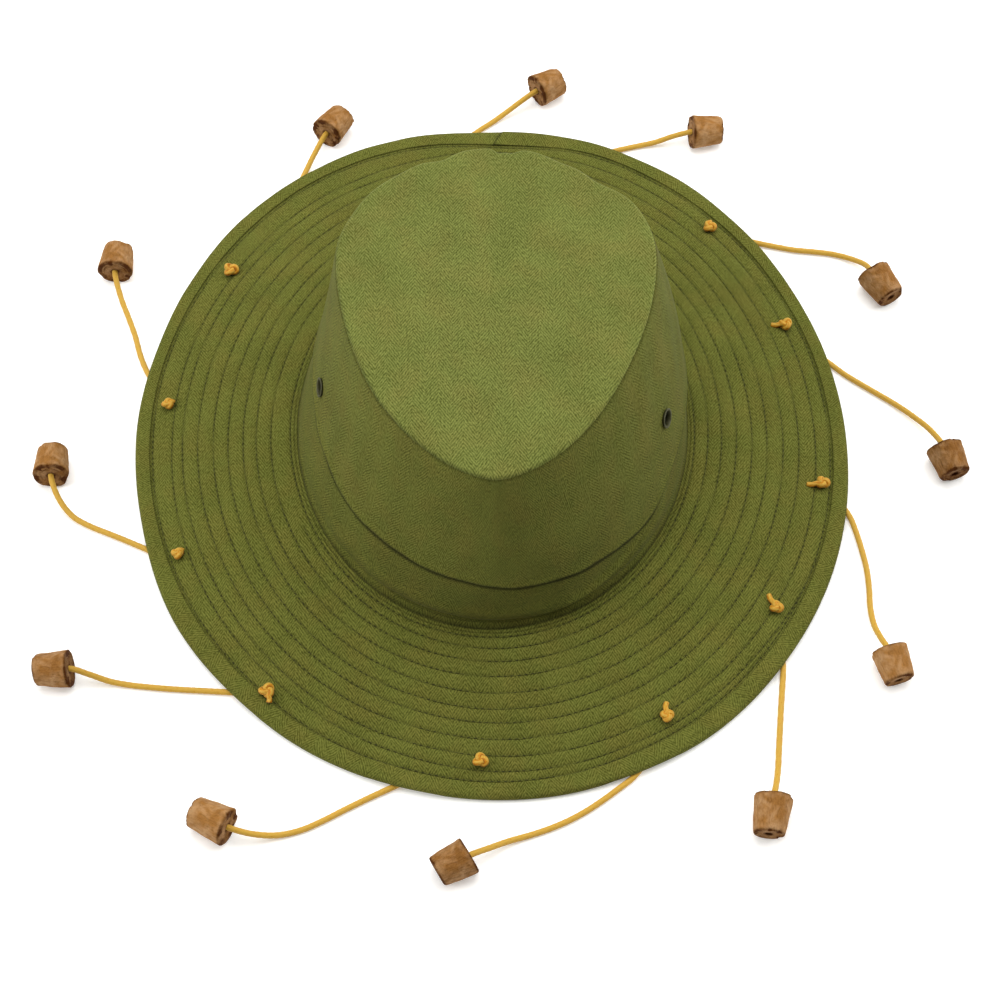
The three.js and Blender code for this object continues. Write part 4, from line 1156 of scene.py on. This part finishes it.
def build_crown_tip():
    """The flat top panel, slightly domed, sewn to the wall all round."""
    angles = turn_angles(CROWN_COLUMNS)
    rings = np.r_[np.linspace(0, 0.9, 26)[1:], np.linspace(0.9, 1, 12)[1:]]
    rim = wall_plan(angles, np.ones_like(angles))
    centre = np.array(TIP_SHIFT)
    share = rings[:, None]
    plan = centre + (rim - centre) * share[..., None]
    inward = (1 - share) * np.linalg.norm(rim - centre, axis=1)
    top = SEAM_TOP + CROWN_RISE + TIP_DOME * (1 - share ** 2)
    top = top + ripple(plan, 3, (70, 38, 22), 0.5) * np.minimum(1, inward / 12)
    top = top - 0.9 * falloff(inward, 0.7)
    upper = np.concatenate([plan, top[..., None]], -1)
    low_rings = np.linspace(1, 0, 10)[:-1][:, None]
    low_plan = centre + (rim - centre) * low_rings[..., None]
    low_top = np.broadcast_to(
        SEAM_TOP + CROWN_RISE + TIP_DOME * (1 - low_rings ** 2) - WALL_THICK, low_plan.shape[:2])
    lower = np.concatenate([low_plan, low_top[..., None]], -1)
    points = np.concatenate([upper, lower], 0)
    flat = points[..., :2]
    mesh = grid_mesh("crown_tip_cloth", points, np.concatenate([flat, flat[:, :1]], 1), (False, True))
    # Painted shade on the tip's edge in front, from about 170 to 300 degrees, and a painted highlight on
    # the rest of the edge, brightest at the back, where the value falls below zero
    dark = bump_at(angles, 235, 75)
    painted_shade = (1.1 * dark - 0.5) * falloff(inward, 0.8)
    store(mesh, "painted_shade", np.concatenate([painted_shade, np.zeros(low_plan.shape[:2])], 0))
    cap_grid(mesh, len(points), len(angles))
    finish_mesh("crown_tip_cloth", mesh, materials()["pale_herringbone_cotton"], "crown_tip")


def cap_grid(mesh, rows, columns):
    """Closes the first and last row of a grid with a fan round a new middle point."""
    work = bmesh.new()
    work.from_mesh(mesh)
    work.verts.ensure_lookup_table()
    layer = work.loops.layers.uv["cloth"]
    rings = [[work.verts[start + column] for column in range(columns)]
             for start in (0, (rows - 1) * columns)]
    for ring, flip in zip(rings, (False, True)):
        middle = work.verts.new(sum((vertex.co for vertex in ring), Vector()) / columns)
        for a, b in zip(ring, ring[1:] + ring[:1]):
            corners = (middle, b, a) if flip else (middle, a, b)
            face = work.faces.new(corners)
            for loop in face.loops:
                loop[layer].uv = loop.vert.co.xy
    work.to_mesh(mesh)
    work.free()


def build_eyelets():
    """A rolled metal ring with a short barrel through the cloth for each vent."""
    reach = WALL_THICK / 2 + 0.7
    profile = [(3.4, -reach), (3.65, -reach - 0.1), (3.9, -reach), (3.9, reach - 0.1),
               (4.15, reach - 0.1), (4.4, reach), (4.5, reach + 0.14), (4.4, reach + 0.3),
               (4.1, reach + 0.4), (3.8, reach + 0.4), (3.52, reach + 0.24), (3.4, reach)]
    turns = np.linspace(0, 2 * np.pi, 48, endpoint=False)
    for node, angle, share in VENTS:
        centre, out = vent_place(angle, share)
        rings = [[(radius * math.cos(turn), radius * math.sin(turn), height) for turn in turns]
                 for radius, height in profile]
        points = np.array(rings)
        flat = np.zeros((len(profile) + 1, len(turns) + 1, 2))
        mesh = grid_mesh(node + "_ring", points, flat)
        # The inside of the barrel gets painted shade
        inside = (points[..., 2] < reach - 0.1) * 1.0
        store(mesh, "painted_shade", inside)
        piece = finish_mesh(node + "_ring", mesh, materials()["olive_eyelet_enamel"], node)
        place_piece(piece, centre, out)


def place_piece(piece, centre, out):
    """Puts a piece at a point, in millimetres, with its own Z along a direction."""
    turn = Vector(out).to_track_quat("Z", "Y")
    piece.matrix_world = Matrix.Translation(Vector(centre) * MM) @ turn.to_matrix().to_4x4()


def cord_route(cord):
    """Middle line of a cord: down through the brim, out along the surface and into its cork."""
    lift = CORD_DIAMETER / 2 * math.cos(math.radians(CORD_TILT))
    start = brim_point(cord["knot"], cord["reach"], BRIM_THICK / 2 - lift)
    route = np.array(cord["route"], float)
    away = np.array([route[0][0] / MM - start[0], route[0][1] / MM - start[1], 0])
    away /= np.linalg.norm(away)
    steepest = math.acos(max(0, 1 - (start[2] - CORD_REST) / CORD_BEND))
    tilt = min(math.radians(CORD_TILT), steepest)
    slope = away * math.cos(tilt) - np.array([0, 0, math.sin(tilt)])
    straight = (start[2] - CORD_REST - CORD_BEND * (1 - math.cos(tilt))) / math.sin(tilt)
    points = [start] if straight > CORD_DIAMETER / 4 else []
    for share in (0, 0.5, 1):
        left = tilt * (1 - share)
        point = start + slope * straight + away * CORD_BEND * (math.sin(tilt) - math.sin(left))
        point[2] = CORD_REST + CORD_BEND * (1 - math.cos(left))
        points.append(point)
    for x, y, rise in route:
        points.append(np.array([x / MM, y / MM, CORD_REST + (CORK_REST - CORD_REST) * rise]))
    heading = math.radians(cord["heading"])
    level = CORD_IN_CORK * math.cos(CORK_TAPER)
    points.append(points[-1] + [level * math.cos(heading), level * math.sin(heading),
                                -CORD_IN_CORK * math.sin(CORK_TAPER)])
    return np.array(points)


def rope_mesh(name, paths, width, sides=16, step=0.55, tapers=(0.0, 0.0)):
    """Plaited tubes along paths, with the height of the plait stored for the material, which paints
    shade in the hollows from it. tapers tells how much thinner each one becomes. The plait stands
    out by a tenth of the radius."""
    vertices, faces, heights = [], [], []
    for path, taper in zip(paths, tapers):
        line = smooth_path(path, step)
        along = np.arange(len(line))[:, None] * step
        turns = np.linspace(0, 2 * np.pi, sides, endpoint=False)[None, :]
        height = plait(turns, along, PLAIT_STRANDS, PLAIT_PITCH)
        radius = width / 2 * (0.93 + 0.1 * height) * (1 - taper * along / (len(line) * step))
        faces += tube_faces(len(line), sides, len(vertices))
        vertices += tube_rings(line, radius).reshape(-1, 3).tolist()
        heights.append(0.35 + 0.65 * height.reshape(-1))
    mesh = bpy.data.meshes.new(name)
    mesh.from_pydata((np.array(vertices) * MM).tolist(), [], faces)
    store(mesh, "height", np.concatenate(heights))
    return mesh


def build_cords(sizes):
    """Twelve loose cords, each from under its knot to inside its cork."""
    diameter = sizes.cord_diameter / MM
    for number, cord in enumerate(CORDS, 1):
        route = cord_route(cord)
        name = f"cord_{number:02d}"
        mesh = rope_mesh(name + "_braid", [route], diameter)
        piece = finish_mesh(name + "_braid", mesh, materials()["golden_braided_cord"], name)
        line = smooth_path(route, 1)


def paint_knot_shade(mesh, seat, wide):
    """Paints shade on a knot by lowering its stored height: in the knot's folds, where it meets the
    cloth, and on the undersides of its cut end.
    """
    points, normals = np.empty(len(mesh.vertices) * 3), np.empty(len(mesh.vertices) * 3)
    mesh.vertices.foreach_get("co", points)
    mesh.vertex_normals.foreach_get("vector", normals)
    gap = points.reshape(-1, 3) / MM - seat
    away = gap - [0, 0, 1.6]
    distance = np.linalg.norm(away, axis=1)
    facing = (normals.reshape(-1, 3) * away).sum(1) / np.maximum(distance, 0.1)
    heights = np.empty(len(mesh.vertices))
    mesh.attributes["height"].data.foreach_get("value", heights)
    outside = np.clip((facing - 0.25) / 0.6, 0, 1) * np.clip((distance / (wide / 2) - 0.35) / 0.3, 0, 1)
    above_cloth = np.clip((gap[:, 2] - 0.2) / 2.2, 0, 1)
    on_tail = distance > wide / 2 + 0.4
    upward = np.clip((normals.reshape(-1, 3)[:, 2] + 0.3) / 0.9, 0, 1)
    # Painted light: faces turned out and up stay light, while folds, undersides and the foot get painted
    # shade
    light = np.where(on_tail, upward, outside * above_cloth)
    mesh.attributes["height"].data.foreach_set("value", -0.3 + (heights * 0.6 + 0.4) * light ** 0.7)


def knot_paths(knot, seat):
    """The loop of an overhand knot on its seat, and its cut end where it has one."""
    loop_reach, loop_height, stretch = 2.45, 0.95, (1.12, 1, 1)
    t = np.linspace(0, 2 * np.pi, 40)
    loop = np.stack([np.sin(t) + 2 * np.sin(2 * t), np.cos(t) - 2 * np.cos(2 * t),
                     -loop_height * np.sin(3 * t)], -1)
    loop *= (knot["width"] - KNOT_CORD) / 2 / loop_reach
    spin = math.radians(knot["turn"])
    spun = loop @ np.array([[math.cos(spin), math.sin(spin), 0], [-math.sin(spin), math.cos(spin), 0],
                            [0, 0, 1]])
    paths = [seat + (spun * stretch + (0, 0, KNOT_MIDDLE))]
    tail = knot["tail"]
    if tail:
        turn = math.radians(knot["tail_turn"])
        way = np.array([math.cos(turn), math.sin(turn), 0])
        side = np.array([-way[1], way[0], 0])
        reach = knot["width"] / 2 - 1.2
        paths.append(np.array([
            seat + way * reach * 0.3 + [0, 0, 2.4],
            seat + way * (reach + 0.8) + side * 0.3 + [0, 0, 2.3],
            seat + way * (reach + tail * 0.55) + side * 0.5 + [0, 0, 1.7],
            seat + way * (reach + tail) + [0, 0, 1.3]]))
    return paths


def build_knots():
    """Overhand knots that keep the cords from slipping through the brim, with their cut ends."""
    for number, (cord, knot) in enumerate(zip(CORDS, KNOTS), 1):
        seat = brim_point(cord["knot"], cord["reach"], BRIM_THICK / 2)
        shift_x, shift_y = knot["shift_x"], knot["shift_y"]
        outward = (seat[0] * shift_x + seat[1] * shift_y) / math.hypot(seat[0], seat[1])
        seat = seat + [shift_x, shift_y, -outward * BRIM_RISE / brim_width(np.array(cord["knot"]))]
        name = f"knot_{number:02d}"
        mesh = rope_mesh(name + "_braid", knot_paths(knot, seat), KNOT_CORD, 14, 0.4, (0.0, 0.16))
        paint_knot_shade(mesh, seat, knot["width"])
        finish_mesh(name + "_braid", mesh, materials()["golden_braided_cord"], name)


def cork_profile(wide, thin, length):
    """Radius and height round a cork's section: the wide face, the side, the thin face and the
    bore. Also tells how many points are on the wide face and on the side."""
    bore = CORK_BORE
    near = [(bore, 0.25)]
    near += [(bore + (wide - 0.9 - bore) * share, 0.25 - 0.25 * share ** 4)
             for share in np.linspace(0.12, 1, 10)]
    near += [(wide - 0.4, 0.12), (wide - 0.12, 0.42)]
    side = [(wide + (thin - wide) * share, length * share) for share in np.linspace(0.06, 0.94, 30)]
    far = [(thin - 0.1, length - 0.5), (thin - 0.38, length - 0.16)]
    far += [(bore + (thin - 0.9 - bore) * share, length - 0.35 + 0.35 * share ** 4)
            for share in np.linspace(1, 0.12, 10)]
    far += [(bore, length - 0.35)]
    hole = [(bore, length * share) for share in (0.97, 0.7, 0.35, 0.03)]
    return np.array(near + side + far + hole), len(near), len(side)


def build_corks():
    """Twelve tapered corks, cut a little unevenly, each with a bore for its cord."""
    sides = 72
    turns = np.linspace(0, 2 * np.pi, sides, endpoint=False)
    for number, cord in enumerate(CORDS, 1):
        rng = np.random.default_rng(40 + number)
        length = CORK_LENGTH * cord["size"]
        wide = CORK_ROUND
        thin = wide - (CORK_WIDE - CORK_NARROW) / 2 * cord["size"]
        profile, near, side = cork_profile(wide, thin, length)
        radius, height = profile[:, :1] * np.ones(sides), profile[:, 1:] * np.ones(sides)
        body = np.clip((radius - CORK_BORE) / (thin - CORK_BORE), 0, 1)
        across, up = radius * np.cos(turns), radius * np.sin(turns)
        rough = ripple(np.stack([across + height * 0.7, up], -1), 70 + number, (9, 5, 2.6), 0.3)
        # Flats where the knife cut a little deep
        for _ in range(3):
            spot, cut = rng.uniform(0, 2 * np.pi), rng.uniform(0.2, 0.7)
            facing = np.maximum(np.cos(turns - spot), 0.2)
            radius = np.minimum(radius, radius * (1 - cut / wide) / facing)
        radius = radius + rough * body - 0.05
        # Chips out of both rims
        chips = np.zeros_like(radius)
        for end in (0, length):
            for _ in range(rng.integers(5, 9)):
                spot, span = rng.uniform(0, 2 * np.pi), rng.uniform(0.05, 0.2)
                deep = rng.uniform(0.3, 1.1)
                off = np.angle(np.exp(1j * (turns - spot)))
                chips += deep * falloff(off, span) * falloff(height - end, 1.1) * (body > 0.7)
        radius = radius - chips
        ends = np.clip(np.abs(height - length / 2) / (length / 2), 0, 1) ** 3
        lean = rng.uniform(-0.07, 0.07, 2)
        across, up = radius * np.cos(turns), radius * np.sin(turns)
        points = np.stack([across, up, height + (across * lean[0] + up * lean[1]) * ends], -1)
        name = f"cork_{number:02d}"
        mesh = grid_mesh(name + "_plug", points, np.zeros((len(profile) + 1, sides + 1, 2)))
        # Wear: a broken ring on both faces, both rims, and the chips; the cork is also darker round the
        # edge of the bore and inside it
        place = np.arange(len(profile))
        face = (place < near) | (place >= near + side)
        edge = falloff(height - np.where(height < length / 2, 0, length), 0.9) * (body > 0.8)
        broken = 0.5 + 0.5 * np.sin(turns * rng.integers(3, 6) + rng.uniform(0, 6))
        ring = falloff(body - rng.uniform(0.5, 0.7), 0.06) * broken
        hole = falloff(body - 0.02, 0.14)
        wear = face[:, None] * (0.26 + 0.5 * ring + 0.45 * hole) + edge * (0.12 + 0.5 * broken)
        wear = wear + 0.8 * np.clip(chips, 0, 1) + CORK_TONES[number - 1]
        store(mesh, "wear", wear)
        piece = finish_mesh(name + "_plug", mesh, materials()["natural_cork"], name)
        heading = math.radians(cord["heading"])
        x, y, _ = cord["route"][-1]
        out = (math.cos(heading) * math.cos(CORK_TAPER), math.sin(heading) * math.cos(CORK_TAPER),
               -math.sin(CORK_TAPER))
        place_piece(piece, (x / MM, y / MM, CORK_REST), out)


# Stage
def aim(thing, location, target):
    """Puts a lamp or the camera at a place and turns it to a target."""
    thing.location = location
    way = Vector(target) - Vector(location)
    thing.rotation_euler = way.to_track_quat("-Z", "Y").to_euler()


def softbox(name, place, target, size, power):
    """A square softbox."""
    lamp = bpy.data.lights.new(name, "AREA")
    lamp.size, lamp.energy = size, power
    piece = bpy.data.objects.new(name, lamp)
    bpy.context.scene.collection.objects.link(piece)
    aim(piece, place, target)
    return piece


def build_stage():
    """A white table, soft light from above and the sides, and the camera at the photo's angle."""
    scene = bpy.context.scene
    scene.view_settings.view_transform = "Standard"
    world = bpy.data.worlds.new("soft_white_room")
    world.use_nodes = True
    back = world.node_tree.nodes["Background"]
    back.inputs["Color"].default_value = ROOM_COLOUR
    back.inputs["Strength"].default_value = ROOM_STRENGTH
    scene.world = world
    corners = [(x * FLOOR_SIZE, y * FLOOR_SIZE, -FLOOR_DROP)
               for x, y in ((-1, -1), (1, -1), (1, 1), (-1, 1))]
    mesh = bpy.data.meshes.new("studio_floor")
    mesh.from_pydata(corners, [], [(0, 1, 2, 3)])
    mesh.materials.append(materials()["opal_acrylic_table"])
    floor = bpy.data.objects.new("studio_floor", mesh)
    scene.collection.objects.link(floor)
    lights = [softbox(**dict(zip(SOFTBOX_COLUMNS, row))) for row in SOFTBOX_ROWS]
    view = bpy.data.cameras.new("camera")
    view.lens = CAMERA_LENS
    view.clip_end = CAMERA_FAR
    camera = bpy.data.objects.new("camera", view)
    scene.collection.objects.link(camera)
    aim(camera, CAMERA_PLACE, CAMERA_TARGET)
    scene.camera = camera


# Operators and panel
class CORKHAT_OT_corks(bpy.types.Operator):
    """Make the twelve corks"""
    bl_idname = "cork_hat.corks"
    bl_label = "Corks"

    def execute(self, context):
        build_corks()
        return {"FINISHED"}


class CORKHAT_OT_cords(bpy.types.Operator):
    """Make the twelve braided cords"""
    bl_idname = "cork_hat.cords"
    bl_label = "Cords"

    def execute(self, context):
        build_cords(context.scene.cork_hat_sizes)
        return {"FINISHED"}


class CORKHAT_OT_knots(bpy.types.Operator):
    """Make the knots on top of the brim"""
    bl_idname = "cork_hat.knots"
    bl_label = "Knots"

    def execute(self, context):
        build_knots()
        return {"FINISHED"}


class CORKHAT_OT_brim(bpy.types.Operator):
    """Make the two plies of the quilted brim"""
    bl_idname = "cork_hat.brim"
    bl_label = "Brim"

    def execute(self, context):
        build_brim(context.scene.cork_hat_sizes)
        return {"FINISHED"}


class CORKHAT_OT_stitches(bpy.types.Operator):
    """Make the stitches of the brim"""
    bl_idname = "cork_hat.stitches"
    bl_label = "Stitches"

    def execute(self, context):
        build_stitches(context.scene.cork_hat_sizes)
        return {"FINISHED"}


class CORKHAT_OT_binding(bpy.types.Operator):
    """Make the binding round the edge of the brim"""
    bl_idname = "cork_hat.binding"
    bl_label = "Binding"

    def execute(self, context):
        build_binding()
        return {"FINISHED"}


class CORKHAT_OT_crown(bpy.types.Operator):
    """Make the crown: its band, side and tip"""
    bl_idname = "cork_hat.crown"
    bl_label = "Crown"

    def execute(self, context):
        build_crown_band()
        build_crown_side()
        build_crown_tip()
        return {"FINISHED"}


class CORKHAT_OT_eyelets(bpy.types.Operator):
    """Make the two vent eyelets"""
    bl_idname = "cork_hat.eyelets"
    bl_label = "Vent eyelets"

    def execute(self, context):
        build_eyelets()
        return {"FINISHED"}


class CORKHAT_OT_stage(bpy.types.Operator):
    """Make the floor, the lights and the camera"""
    bl_idname = "cork_hat.stage"
    bl_label = "Stage"

    def execute(self, context):
        build_stage()
        return {"FINISHED"}


OPERATORS = (
    CORKHAT_OT_stage, CORKHAT_OT_corks, CORKHAT_OT_cords, CORKHAT_OT_knots, CORKHAT_OT_brim,
    CORKHAT_OT_stitches, CORKHAT_OT_binding, CORKHAT_OT_crown, CORKHAT_OT_eyelets,
)


class CORKHAT_PT_panel(bpy.types.Panel):
    """Sizes, colours and pieces of the cork hat"""
    bl_idname = "CORKHAT_PT_panel"
    bl_label = "Cork hat"
    bl_space_type = "VIEW_3D"
    bl_region_type = "UI"
    bl_category = "Cork hat"

    def draw(self, context):
        for group in (context.scene.cork_hat_sizes, context.scene.cork_hat_colours):
            column = self.layout.column()
            for key in group.__annotations__:
                column.prop(group, key)
        column = self.layout.column()
        for operator in OPERATORS:
            column.operator(operator.bl_idname)


CLASSES = (CorkHatSizes, CorkHatColours) + OPERATORS + (CORKHAT_PT_panel,)


def register():
    """Adds the classes and the scene's two groups of properties."""
    for item in CLASSES:
        bpy.utils.register_class(item)
    bpy.types.Scene.cork_hat_sizes = bpy.props.PointerProperty(type=CorkHatSizes)
    bpy.types.Scene.cork_hat_colours = bpy.props.PointerProperty(type=CorkHatColours)


def unregister():
    """Takes them out again."""
    del bpy.types.Scene.cork_hat_colours
    del bpy.types.Scene.cork_hat_sizes
    for item in reversed(CLASSES):
        bpy.utils.unregister_class(item)


def main():
    """Makes the whole hat, one operator after the other."""
    register()
    bpy.ops.cork_hat.stage()
    bpy.ops.cork_hat.corks()
    bpy.ops.cork_hat.cords()
    bpy.ops.cork_hat.knots()
    bpy.ops.cork_hat.brim()
    bpy.ops.cork_hat.stitches()
    bpy.ops.cork_hat.binding()
    bpy.ops.cork_hat.crown()
    bpy.ops.cork_hat.eyelets()


if __name__ == "__main__":
    main()
